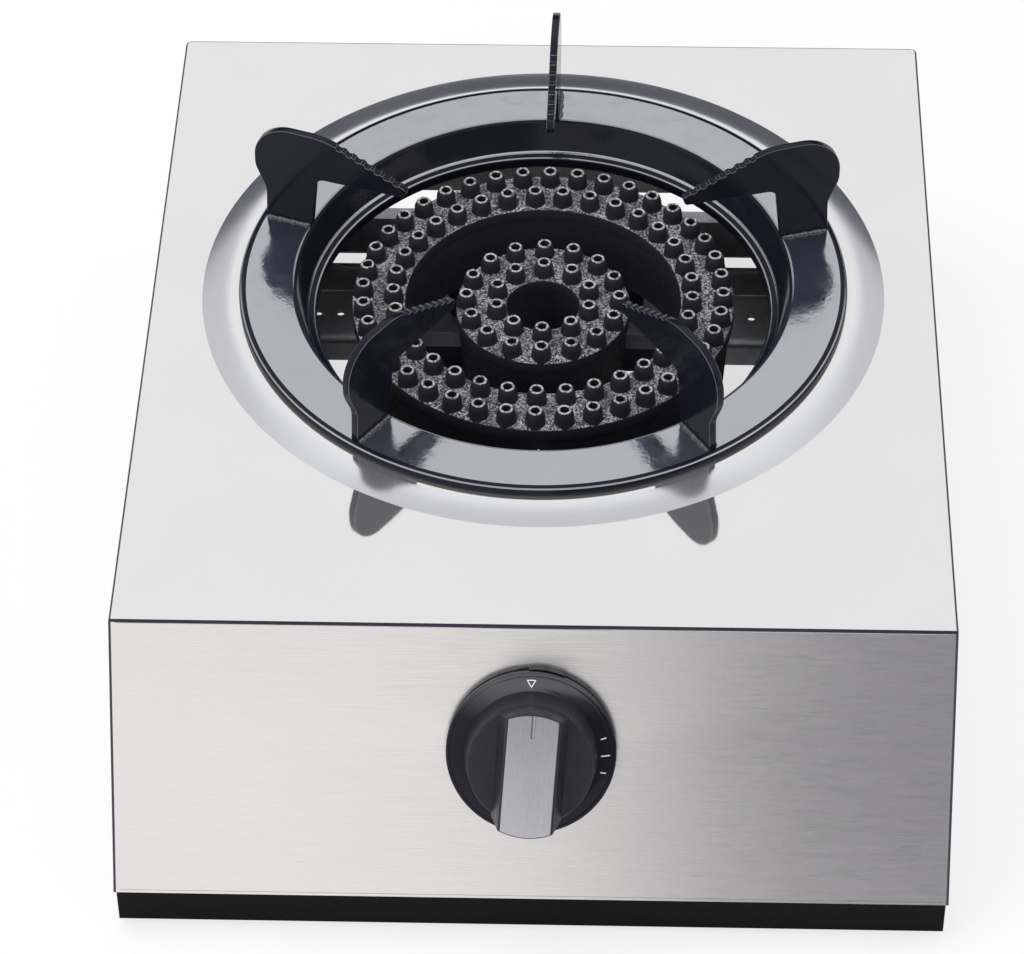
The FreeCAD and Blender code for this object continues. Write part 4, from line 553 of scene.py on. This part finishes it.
def eased(node, radius, finish, segments=2, crease=22, edge=None):
    """A copy of the node with rounded edges, which may have a finish of their own."""
    bm = joined_copy(node)
    if radius:
        round_edges(bm, radius, segments, EASED_ABOVE, 1 if edge else -1)
    return keep(bm, node + "_finished", [finish, edge] if edge else [finish], [node], crease)


def turned(bm, section, steps):
    """Spins a closed section of (radius, height, round) about Z in an empty shape."""
    corners = [bm.verts.new((r * MM, 0, z * MM)) for r, z, *_ in section]
    bm.faces.new(corners)
    for corner, (_, _, *rounding) in zip(corners, section):
        if rounding:
            bmesh.ops.bevel(bm, geom=[corner], offset=rounding[0] * MM, offset_type="OFFSET", segments=3,
                            profile=0.5, affect="VERTICES", clamp_overlap=True, material=-1)
    disc = next(iter(bm.faces))
    bmesh.ops.spin(bm, geom=list(disc.edges), cent=(0, 0, 0), axis=(0, 0, 1), angle=math.tau, steps=steps,
                   use_merge=True, use_duplicate=False)
    bmesh.ops.delete(bm, geom=[disc], context="FACES_ONLY")
    bmesh.ops.remove_doubles(bm, verts=bm.verts, dist=0.001 * MM)
    bmesh.ops.recalc_face_normals(bm, faces=bm.faces)


def burner_frame():
    """Burner axis at the level of the top cover."""
    low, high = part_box("outer_burner_ring")
    return Matrix.Translation(((low[0] + high[0]) / 2, (low[1] + high[1]) / 2, high[2]))


def panel_frame():
    """Knob axis at the front panel's face, Z outwards and Y up the panel."""
    joint = next(j for j in frame["joints"] if j["name"] == "knob_turn")
    out = Vector(joint["axis"]).normalized()
    across = Vector((1, 0, 0))
    up = out.cross(across)
    axes = Matrix((across, up, out)).transposed().to_4x4()
    return Matrix.Translation(joint["pos_m"]) @ axes


class StoveOperator(bpy.types.Operator):
    """Common to every step."""
    bl_options = {"REGISTER", "UNDO"}


class OBJECT_OT_stove_casing(StoveOperator):
    """Polished top, brushed front, sides, back, plinth and rear rail"""
    bl_idname = "object.stove_casing"
    bl_label = "Casing"

    def execute(self, context):
        s = context.scene.stove_casing
        polished, brushed, satin = polished_steel(s), brushed_steel(s), satin_steel(s)
        zinc, paint = galvanised(s), black_paint(s)
        r = s.edge_round
        self.top(s, polished, bend_shade_steel(s))
        # The front panel's rounded edges take the bend finish: painted shade.
        front = eased("front_panel", 2 * r, brushed, 3, crease=10, edge=bend_shade_steel(s))
        self.folds(front.data, s)
        eased("side_panel_left", r, satin)
        eased("side_panel_right", r, satin)
        eased("back_panel", r, satin)
        eased("plinth", r, paint)
        eased("rear_rail", r, zinc)
        return {"FINISHED"}

    def folds(self, mesh, s):
        """Gives the front panel's folded sides and its ledge under the top's edge the bend finish, which is
        painted shade.
        """
        low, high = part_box("front_panel")
        left, right = low[0] + s.fold_width, high[0] - s.fold_width
        bm = bmesh.new()
        bm.from_mesh(mesh)
        for cut in (left, right):
            bmesh.ops.bisect_plane(bm, geom=bm.verts[:] + bm.edges[:] + bm.faces[:], dist=0.0001 * MM,
                                   plane_co=(cut, 0, 0), plane_no=(1, 0, 0))
        for face in bm.faces:
            if face.normal.z > 0.9 or not left < face.calc_center_median().x < right:
                face.material_index = 1
        bm.to_mesh(mesh)
        bm.free()

    def top(self, s, polished, bend_shade):
        """The top cover: its folds and front edge get painted shade, and a curved step replaces its cone."""
        bm = joined_copy("top_cover")
        centre = burner_frame().translation
        slack = 0.1 * (s.step_outer - s.step_inner)
        cone = [f for f in bm.faces if 0.9 < f.normal.z < 0.999
                and all(s.step_inner - slack < (v.co.xy - centre.xy).length < s.step_outer + slack
                        for v in f.verts)]
        bmesh.ops.delete(bm, geom=cone, context="FACES")
        for face in bm.faces:
            # Painted shade: the folds and the front edge take the near-black bend finish.
            face.material_index = int(0.15 < face.normal.z < 0.995 or face.normal.y < -0.9)
        self.pressed_step(bm, s, centre)
        keep(bm, "top_cover_polished", [polished, bend_shade, pressed_steel(s)], ["top_cover"], 6)

    def pressed_step(self, bm, s, centre):
        """Spins the step round the pan ring, steep outside and flattening inwards.

        It laps over the flats beside it and lies a hair above them."""
        level, run = centre.z, s.step_outer - s.step_inner
        lap, cover = 0.15 * MM, 0.004 * MM
        section = [(s.step_outer + lap, level + cover)]
        for k in range(s.step_cuts + 1):
            t = k / s.step_cuts
            rise = s.step_rise * (1 - (1 - t) ** s.step_curve)
            section.append((s.step_outer - t * run, level + rise + cover))
        section.append((s.step_inner - lap, level + s.step_rise + cover))
        old = set(bm.verts)
        corners = [bm.verts.new((radius, 0, height)) for radius, height in section]
        edges = [bm.edges.new(pair) for pair in zip(corners, corners[1:])]
        bmesh.ops.spin(bm, geom=corners + edges, cent=(0, 0, 0), axis=(0, 0, 1), angle=math.tau,
                       steps=s.step_steps, use_merge=True, use_duplicate=False)
        made = [v for v in bm.verts if v not in old]
        bmesh.ops.remove_doubles(bm, verts=made, dist=0.001 * MM)
        made = [v for v in bm.verts if v not in old]
        bmesh.ops.translate(bm, verts=made, vec=(*centre.xy, 0))
        skin = list({f for v in made for f in v.link_faces})
        bm.normal_update()
        bmesh.ops.reverse_faces(bm, faces=[f for f in skin if f.normal.z < 0])
        for face in skin:
            face.material_index = 2


class OBJECT_OT_stove_brackets(StoveOperator):
    """Cross brackets and the valve's bracket inside the casing"""
    bl_idname = "object.stove_brackets"
    bl_label = "Brackets"

    def execute(self, context):
        s = context.scene.stove_casing
        zinc = galvanised(s)
        for node in ("rear_bracket", "front_bracket", "valve_bracket", "electrode_clip"):
            eased(node, s.edge_round, zinc)
        return {"FINISHED"}


class OBJECT_OT_stove_screws(StoveOperator):
    """Screws with rounded heads"""
    bl_idname = "object.stove_screws"
    bl_label = "Screws"

    def execute(self, context):
        plated = machined("zinc_plate", (0.66, 0.67, 0.68), (0.45, 0.43, 0.38), 0.22)
        for node in ("cover_screws", "side_screws", "back_screws", "burner_screws", "valve_screws"):
            eased(node, 0.12 * MM, plated)
        return {"FINISHED"}


class OBJECT_OT_stove_feet(StoveOperator):
    """Rubber feet"""
    bl_idname = "object.stove_feet"
    bl_label = "Feet"

    def execute(self, context):
        black = rubber()
        for end in ("front", "rear"):
            for side in ("left", "right"):
                eased("foot_%s_%s" % (end, side), 0.25 * MM, black)
        return {"FINISHED"}


class OBJECT_OT_stove_pan_ring(StoveOperator):
    """Enamelled pan ring with its rolled lip"""
    bl_idname = "object.stove_pan_ring"
    bl_label = "Pan ring"

    def execute(self, context):
        s = context.scene.stove_pan_ring
        bm = bmesh.new()
        turned(bm, [(116.6, 1.7, 0.3), (116.6, 3.4, 0.4), (116.1, 4.2), (115.5, 4.5), (114.0, 4.7, 0.3),
                    (94.8, 4.7, 1.4), (91.2, -7.9), (90.3, -8.6), (88.3, -8.9), (87.7, -9.1),
                    (87.3, -9.6, 0.3),
                    (87.3, -13.0), (88.5, -13.0), (88.5, -10.2, 0.3), (90.96, -9.7, 0.8), (95.76, 3.5, 0.6),
                    (115.4, 3.5, 0.4), (115.4, 1.7)], s.steps)
        # Painted highlights: faces in these bands take the paler, far more reflective lit copy of the enamel.
        highlighted = ((95.6, 113.8, 4.6), (115.5, 116.1, 4.0), (90.3, 91.2, -8.7), (87.7, 88.3, -9.1))
        for face in bm.faces:
            middle = face.calc_center_median() / MM
            out = middle.xy.length
            face.material_index = int(any(low < out < high and middle.z > level
                                          for low, high, level in highlighted))
        bm.transform(burner_frame())
        # Shaded and lit copies of one enamel: painted shade on upright faces, painted highlights on flats and
        # bands.
        plain = enamel(s, "ring_enamel", s.shaded_plain_mirror)
        flats = enamel(s, "ring_enamel_lit_flat", s.lit_flat_mirror, s.lit_flat_colour)
        keep(bm, "pan_ring_enamelled", [plain, flats], ["pan_ring"], 40)
        return {"FINISHED"}


class OBJECT_OT_stove_prongs(StoveOperator):
    """Prongs with enamel-rounded edges and the weld beads at their feet"""
    bl_idname = "object.stove_prongs"
    bl_label = "Prongs"

    def execute(self, context):
        s = context.scene.stove_pan_ring
        glaze = enamel(s, "prong_enamel", s.shaded_plain_mirror)
        # Painted highlights: the prongs' rounded edges and weld beads take a more reflective copy of the enamel.
        highlighted = enamel(s, "prong_enamel_edge", s.highlight_edge_mirror)
        centre = burner_frame()
        for index in range(1, 6):
            node = "prong_%d" % index
            bm = joined_copy(node)
            round_edges(bm, s.prong_round, 3, 40, 1)
            low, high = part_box(node)
            turn = (Vector(low) + Vector(high)) / 2 - centre.translation
            self.beads(bm, centre @ Matrix.Rotation(math.atan2(turn.y, turn.x), 4, "Z"))
            keep(bm, node + "_enamelled", [glaze, highlighted], [node], 40)
        return {"FINISHED"}

    def beads(self, bm, foot):
        """A run of weld under the enamel on both sides of a prong's foot."""
        for side in (-1, 1):
            for step in range(BEADS):
                drop = bmesh.ops.create_uvsphere(bm, u_segments=12, v_segments=8, radius=1.0)["verts"]
                swell = 1.0 + BEAD_SWELL * math.sin(2.3 * step + side)
                shape = Matrix.Diagonal((1.7 * MM, 1.25 * swell * MM, 1.15 * swell * MM, 1))
                at = Matrix.Translation(((BEAD_START + BEAD_PITCH * step) * MM, side * BEAD_SIDE * MM,
                                         BEAD_LEVEL * MM))
                bmesh.ops.transform(bm, matrix=foot @ at @ shape, verts=drop)
                # Painted highlights: the beads take the more reflective edge copy of the enamel.
                for face in {f for v in drop for f in v.link_faces}:
                    face.material_index = 1


class OBJECT_OT_stove_burner_heads(StoveOperator):
    """Cast burner ring and cap with their rows of raised ports"""
    bl_idname = "object.stove_burner_heads"
    bl_label = "Burner heads"

    def port(self, steps, height):
        """One raised port with its hole; wall, rim and hole have their own finishes."""
        bm = bmesh.new()
        turned(bm, [(0, -1.0), (4.2, -1.0), (4.05, 0.0, 0.3), (3.85, 0.7, 0.5), (3.65, height - 1.9, 1.3),
                    (2.8, height - 0.35, 0.6), (2.5, height, 0.2), (1.8, height, 0.15),
                    (1.55, height - 0.6), (1.4, height - 4.5), (0, height - 4.5)], steps)
        for face in bm.faces:
            middle = face.calc_center_median()
            out = math.hypot(middle.x, middle.y) / MM
            if middle.z / MM > height - 0.3 and 1.6 < out < 2.75:
                face.material_index = 2
            # The hole's walls and floor take the near-black finish: partly soot, partly painted shade.
            elif out < 1.7 and middle.z / MM > height - 4.6:
                face.material_index = 3
            else:
                face.material_index = 1
        mesh = bpy.data.meshes.new("port")
        bm.to_mesh(mesh)
        bm.free()
        return mesh

    def row(self, bm, mesh, radius, count, face, first):
        """A ring of ports that stand on the head's face, each turned a little about itself."""
        for k in range(count):
            old = len(bm.verts)
            bm.from_mesh(mesh)
            bm.verts.ensure_lookup_table()
            turn = Matrix.Rotation(math.radians(first) + math.tau * k / count, 4, "Z")
            place = turn @ Matrix.Translation((radius * MM, 0, face * MM))
            spun = Matrix.Rotation(PORT_TWIST * k, 4, "Z")
            bmesh.ops.transform(bm, matrix=place @ spun, verts=bm.verts[old:])

    def execute(self, context):
        s = context.scene.stove_burner
        finishes = [rough_casting(s), port_wall(s), port_rim(s), soot_and_hole_shade()]
        centre = burner_frame()

        bm = bmesh.new()
        turned(bm, [(73.6, -12, 0.4), (73.6, -6, 1.4), (53, -6, 1.4), (53, -12, 0.4), (56, -12), (56, -9.5),
                    (66, -9.5), (66, -15), (67.6, -15), (67.6, -9.5), (70.9, -9.5), (70.9, -12)], 160)
        self.skin_sides(bm, OUTER_FACE - 1.0)
        tall = self.port(s.port_steps, 6.0)
        for radius, count, first in OUTER_ROWS:
            self.row(bm, tall, radius, count, OUTER_FACE, first)
        bm.transform(centre)
        keep(bm, "outer_burner_ring_cast", finishes, ["outer_burner_ring"], 40)

        bm = bmesh.new()
        turned(bm, [(33.7, -15, 0.4), (33.7, -9, 1.4), (14, -9, 1.4), (14, -15, 0.4), (16.9, -15),
                    (16.9, -12.2), (23.3, -12.2), (23.3, -18), (24.9, -18), (24.9, -12.2), (31.1, -12.2),
                    (31.1, -15)], 112)
        self.skin_sides(bm, INNER_FACE - 1.0)
        low = self.port(s.port_steps, 5.5)
        for radius, count, first in INNER_ROWS:
            self.row(bm, low, radius, count, INNER_FACE, first)
        bm.transform(centre)
        keep(bm, "inner_burner_cap_cast", finishes, ["inner_burner_cap"], 40)
        return {"FINISHED"}

    def skin_sides(self, bm, level):
        """Everything below the level has the smooth casting skin."""
        for face in bm.faces:
            if face.calc_center_median().z / MM < level:
                face.material_index = 1


class OBJECT_OT_stove_burner_body(StoveOperator):
    """Burner body, mixing tubes, air shutters and injectors"""
    bl_idname = "object.stove_burner_body"
    bl_label = "Burner body"

    def execute(self, context):
        iron = cast_metal("cast_iron_body", (0.030, 0.030, 0.038), 0.2, (0.08, 0.08, 0.09))
        tube = cast_metal("cast_iron_tube", (0.07, 0.07, 0.072), 0.5, (0.2, 0.2, 0.2))
        steel = machined("shutter_steel", (0.55, 0.55, 0.56), (0.35, 0.33, 0.3), 0.3)
        brass = machined("injector_brass", (0.75, 0.55, 0.24), (0.42, 0.28, 0.12))
        eased("burner_body", 0, iron)
        for place in ("outer", "inner"):
            eased("mixing_tube_" + place, 0, tube)
            eased("air_shutter_" + place, 0.15 * MM, steel)
            eased("injector_" + place, 0, brass)
        return {"FINISHED"}


class OBJECT_OT_stove_gas_train(StoveOperator):
    """Valve, gas pipe, nuts and hose nozzle"""
    bl_idname = "object.stove_gas_train"
    bl_label = "Gas train"

    def execute(self, context):
        alloy = cast_metal("valve_alloy", (0.55, 0.55, 0.56), 0.9, (0.75, 0.75, 0.75))
        pipe = machined("drawn_pipe", (0.76, 0.76, 0.77), (0.6, 0.6, 0.6), 0.28)
        brass = machined("turned_brass", (0.77, 0.57, 0.26), (0.42, 0.29, 0.13))
        spring = machined("spring_steel", (0.45, 0.45, 0.46), (0.25, 0.23, 0.2), 0.3)
        eased("valve_body", 0.3 * MM, alloy)
        eased("valve_cap", 0.3 * MM, alloy)
        eased("gas_pipe", 0, pipe)
        for node in ("pipe_nut_front", "pipe_nut_rear", "hose_nozzle", "nozzle_nut"):
            eased(node, 0.2 * MM, brass)
        for node in ("valve_plug", "valve_stem"):
            eased(node, 0, brass)
        eased("stem_spring", 0, spring)
        return {"FINISHED"}


class OBJECT_OT_stove_ignition(StoveOperator):
    """Igniter, electrode and the lead between them"""
    bl_idname = "object.stove_ignition"
    bl_label = "Ignition"

    def execute(self, context):
        eased("piezo_igniter", 0.3 * MM, moulded("igniter_plastic", (0.03, 0.03, 0.032), 0.45))
        eased("spark_electrode", 0, glazed_ceramic())
        eased("ignition_wire", 0, moulded("silicone_lead", (0.42, 0.03, 0.025), 0.5))
        return {"FINISHED"}


class OBJECT_OT_stove_knob(StoveOperator):
    """Fixed plate, skirt, grip, metal bar and printed marks"""
    bl_idname = "object.stove_knob"
    bl_label = "Knob"

    def execute(self, context):
        s = context.scene.stove_knob
        gloss = knob_gloss_painted_highlight(s)
        dark = moulded("knob_grip_plastic", s.grip_colour, 0.33, reflection=1.33)
        matt = moulded("bezel_plastic", (0.022, 0.022, 0.028), 0.45, reflection=1.4)
        eased("knob_bezel", 0.35 * MM, matt)

        bm = bmesh.new()
        turned(bm, [(30.3, 4.0), (30.3, 5.4, 0.7), (28.9, 5.9, 0.1), (28.75, 5.75, 0.1), (28.5, 6.05, 0.1),
                    (24.1, 7.6, 1.2), (9, 7.6), (9, 6.1), (23.4, 6.1, 1.0), (28.7, 4.0)], s.steps)
        bm.transform(panel_frame())
        keep(bm, "knob_skirt_gloss", [gloss], ["knob_skirt"], 30)

        eased("knob_grip", 0.45 * MM, dark, 3)
        eased("knob_bar", 0.5 * MM, satin_bar(s), 3)
        self.marks(context, s)
        return {"FINISHED"}

    def marks(self, context, s):
        """A pointer triangle at the top of the skirt and plain ticks at the right."""
        bm = bmesh.new()
        slope = math.atan2(1.55, 4.4)
        level = 6.85

        def strip(points, width):
            """A flat printed line through points on the skirt."""
            for (xa, ya), (xb, yb) in zip(points, points[1:]):
                a, b = Vector((xa, ya, 0)), Vector((xb, yb, 0))
                along = (b - a).normalized()
                side = Vector((-along.y, along.x, 0)) * width / 2
                ends = [a - along * width / 2, b + along * width / 2]
                quad = bm.faces.new([bm.verts.new(p) for p in (ends[0] - side, ends[1] - side,
                                                               ends[1] + side, ends[0] + side)])
                bmesh.ops.bevel(bm, geom=list(quad.verts), offset=width * 0.42, offset_type="OFFSET",
                                segments=3, profile=0.5, affect="VERTICES", clamp_overlap=True, material=-1)

        def lay(first, angle):
            """Drops what was drawn since first on the sloping skirt at an angle from the top."""
            new = [v for v in bm.verts if v not in first]
            tilt = Matrix.Rotation(-slope, 4, "X")
            on_slope = Matrix.Translation((0, 26.4, level)) @ tilt
            bmesh.ops.transform(bm, matrix=Matrix.Rotation(math.radians(angle), 4, "Z") @ on_slope,
                                verts=new)

        strip([(-1.5, 1.2), (1.5, 1.2), (0, -1.3), (-1.5, 1.2)], 0.36)
        lay(set(), 0)
        for angle, reach in ((-76, 0.9), (-90, 1.5), (-104, 0.9)):
            known = set(bm.verts)
            strip([(0, -reach), (0, reach)], 0.4)
            lay(known, angle)
        flat = bm.faces[:]
        bmesh.ops.solidify(bm, geom=flat, thickness=-0.06)
        bmesh.ops.recalc_face_normals(bm, faces=bm.faces)
        bmesh.ops.scale(bm, vec=(MM, MM, MM), verts=bm.verts)
        bm.transform(panel_frame())
        keep(bm, "knob_marks", [printed(s)], [], 30, body="knob")


class OBJECT_OT_stove_stage(StoveOperator):
    """Pale floor, soft lamps and the camera"""
    bl_idname = "object.stove_stage"
    bl_label = "Stage"

    def execute(self, context):
        s = context.scene.stove_stage
        scene = context.scene
        scene.view_settings.view_transform = "Standard"
        self.world(scene, s)
        self.floor()
        low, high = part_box("top_cover")
        middle = Vector(((low[0] + high[0]) / 2, (low[1] + high[1]) / 2, high[2]))
        self.card("low_dark_card", (3.0, 0.72), middle + Vector((0, 1.5, 0.60)), (math.radians(90), 0, 0),
                  (0.006, 0.008, 0.022))
        self.card("side_grey_card", (0.9, 0.7), middle + Vector((0.50, -0.62, 0.05)),
                  (math.radians(90), 0, 0), (0.22, 0.22, 0.245))
        self.lamp("overhead", 1.6, s.key_power, middle + Vector((-0.5, 0.2, 1.7)), middle)
        self.lamp("front_left", 0.9, s.key_power * 0.35, middle + Vector((-1.3, -1.2, 0.9)), middle)
        self.camera(scene, s)
        return {"FINISHED"}

    def world(self, scene, s):
        world = bpy.data.worlds.new("studio")
        scene.world = world
        world.use_nodes = True
        tree = world.node_tree
        lit = tree.nodes["Background"]
        lit.inputs["Color"].default_value = (1, 1, 1, 1)
        tree.links.new(self.tent(tree, s), lit.inputs["Strength"])
        white = tree.nodes.new("ShaderNodeBackground")
        white.inputs["Color"].default_value = (1, 1, 1, 1)
        path = tree.nodes.new("ShaderNodeLightPath")
        mix = tree.nodes.new("ShaderNodeMixShader")
        tree.links.new(path.outputs["Is Camera Ray"], mix.inputs["Fac"])
        tree.links.new(lit.outputs[0], mix.inputs[1])
        tree.links.new(white.outputs[0], mix.inputs[2])
        tree.links.new(mix.outputs[0], tree.nodes["World Output"].inputs["Surface"])

    def tent(self, tree, s):
        """Strength of the white tent by direction: greyer overhead and in the far corners."""
        way = tree.nodes.new("ShaderNodeSeparateXYZ")
        tree.links.new(tree.nodes.new("ShaderNodeTexCoord").outputs["Generated"], way.inputs["Vector"])

        def maths(operation, first, second):
            item = tree.nodes.new("ShaderNodeMath")
            item.operation = operation
            for socket, value in zip(item.inputs, (first, second)):
                if isinstance(value, (int, float)):
                    socket.default_value = value
                else:
                    tree.links.new(value, socket)
            return item.outputs["Value"]

        def fade(value, low, high, end):
            item = tree.nodes.new("ShaderNodeMapRange")
            item.interpolation_type = "SMOOTHSTEP"
            for name, number in (("From Min", low), ("From Max", high), ("To Min", s.surround),
                                 ("To Max", end)):
                item.inputs[name].default_value = number
            tree.links.new(value, item.inputs["Value"])
            return item.outputs["Result"]

        corner = maths("MULTIPLY", maths("ABSOLUTE", way.outputs["X"], 0),
                       maths("MAXIMUM", way.outputs["Y"], 0))
        return maths("MINIMUM", fade(way.outputs["Z"], 0.80, 0.92, s.ceiling),
                     fade(corner, 0.10, 0.19, s.ceiling))

    def floor(self):
        material = bpy.data.materials.new("pale_floor")
        material.use_nodes = True
        tree = material.node_tree
        matt = tree.nodes["Principled BSDF"]
        matt.inputs["Base Color"].default_value = (0.9, 0.9, 0.9, 1)
        matt.inputs["Roughness"].default_value = 0.9
        glow = tree.nodes.new("ShaderNodeEmission")
        path = tree.nodes.new("ShaderNodeLightPath")
        seen = tree.nodes.new("ShaderNodeMath")
        seen.inputs[1].default_value = FLOOR_GLOW
        seen.operation = "MULTIPLY"
        mix = tree.nodes.new("ShaderNodeMixShader")
        tree.links.new(path.outputs["Is Camera Ray"], seen.inputs[0])
        tree.links.new(seen.outputs[0], mix.inputs["Fac"])
        tree.links.new(matt.outputs[0], mix.inputs[1])
        tree.links.new(glow.outputs[0], mix.inputs[2])
        tree.links.new(mix.outputs[0], tree.nodes["Material Output"].inputs["Surface"])
        bm = bmesh.new()
        bmesh.ops.create_grid(bm, x_segments=1, y_segments=1, size=20)
        bmesh.ops.translate(bm, vec=(0, 0, CAD_BOX[0][2]), verts=bm.verts)
        self.set_piece(bm, "floor", material)

    def card(self, name, size, place, turn, shade):
        """A dark card that shows only in reflections."""
        material = bpy.data.materials.new(name)
        material.use_nodes = True
        shader = material.node_tree.nodes["Principled BSDF"]
        shader.inputs["Base Color"].default_value = (*shade, 1)
        shader.inputs["Roughness"].default_value = 1.0
        bm = bmesh.new()
        bmesh.ops.create_grid(bm, x_segments=1, y_segments=1, size=0.5)
        bmesh.ops.scale(bm, vec=(size[0], size[1], 1), verts=bm.verts)
        bm.transform(Matrix.Translation(place) @ Euler(turn).to_matrix().to_4x4())
        card = self.set_piece(bm, name, material)
        card.visible_camera = card.visible_diffuse = card.visible_shadow = False

    def set_piece(self, bm, name, material):
        mesh = bpy.data.meshes.new(name)
        bm.to_mesh(mesh)
        bm.free()
        mesh.materials.append(material)
        piece = bpy.data.objects.new(name, mesh)
        bpy.context.scene.collection.objects.link(piece)
        return piece

    def lamp(self, name, size, power, place, target):
        data = bpy.data.lights.new(name, "AREA")
        data.shape, data.size, data.energy = "DISK", size, power
        lamp = bpy.data.objects.new(name, data)
        lamp.visible_glossy = False
        bpy.context.scene.collection.objects.link(lamp)
        lamp.location = place
        lamp.rotation_euler = (Vector(target) - Vector(place)).to_track_quat("-Z", "Y").to_euler()

    def camera(self, scene, s):
        """Looks down on the stove from in front, a little right of the middle."""
        data = bpy.data.cameras.new("camera")
        data.lens, data.sensor_width = s.lens, 36
        data.clip_start, data.clip_end = 0.01, 100
        camera = bpy.data.objects.new("camera", data)
        scene.collection.objects.link(camera)
        turns = {axis: Matrix.Rotation(math.radians(angle), 4, axis)
                 for axis, angle in zip("XYZ", CAMERA_TURNS)}
        start = Vector((0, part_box("top_cover")[0][1], burner_frame().translation.z))
        place = Matrix.Translation(start + Vector(CAMERA_PLACE))
        camera.matrix_world = place @ (turns["Z"] @ turns["Y"] @ turns["X"]).transposed()
        scene.camera = camera


class VIEW3D_PT_stove(bpy.types.Panel):
    """Lists the stove's steps and settings"""
    bl_label = "Table-top gas stove"
    bl_space_type = "VIEW_3D"
    bl_region_type = "UI"
    bl_category = "Stove"

    def draw(self, context):
        for step in STEPS:
            self.layout.operator(step.bl_idname)
        for name, group in SETTINGS.items():
            box = self.layout.box()
            for prop in group.__annotations__:
                box.prop(getattr(context.scene, name), prop)


SETTINGS = {
    "stove_casing": CasingSettings,
    "stove_pan_ring": PanRingSettings,
    "stove_burner": BurnerSettings,
    "stove_knob": KnobSettings,
    "stove_stage": StageSettings,
}
STEPS = (
    OBJECT_OT_stove_stage,
    OBJECT_OT_stove_casing,
    OBJECT_OT_stove_brackets,
    OBJECT_OT_stove_screws,
    OBJECT_OT_stove_feet,
    OBJECT_OT_stove_pan_ring,
    OBJECT_OT_stove_prongs,
    OBJECT_OT_stove_burner_heads,
    OBJECT_OT_stove_burner_body,
    OBJECT_OT_stove_gas_train,
    OBJECT_OT_stove_ignition,
    OBJECT_OT_stove_knob,
)


def register():
    for item in (*SETTINGS.values(), *STEPS, VIEW3D_PT_stove):
        bpy.utils.register_class(item)
    for name, group in SETTINGS.items():
        setattr(bpy.types.Scene, name, PointerProperty(type=group))


def unregister():
    for name in SETTINGS:
        delattr(bpy.types.Scene, name)
    for item in (VIEW3D_PT_stove, *reversed(STEPS), *SETTINGS.values()):
        bpy.utils.unregister_class(item)


def main():
    register()
    for step in STEPS:
        getattr(bpy.ops.object, step.bl_idname.partition(".")[2])()


if __name__ == "__main__":
    main()
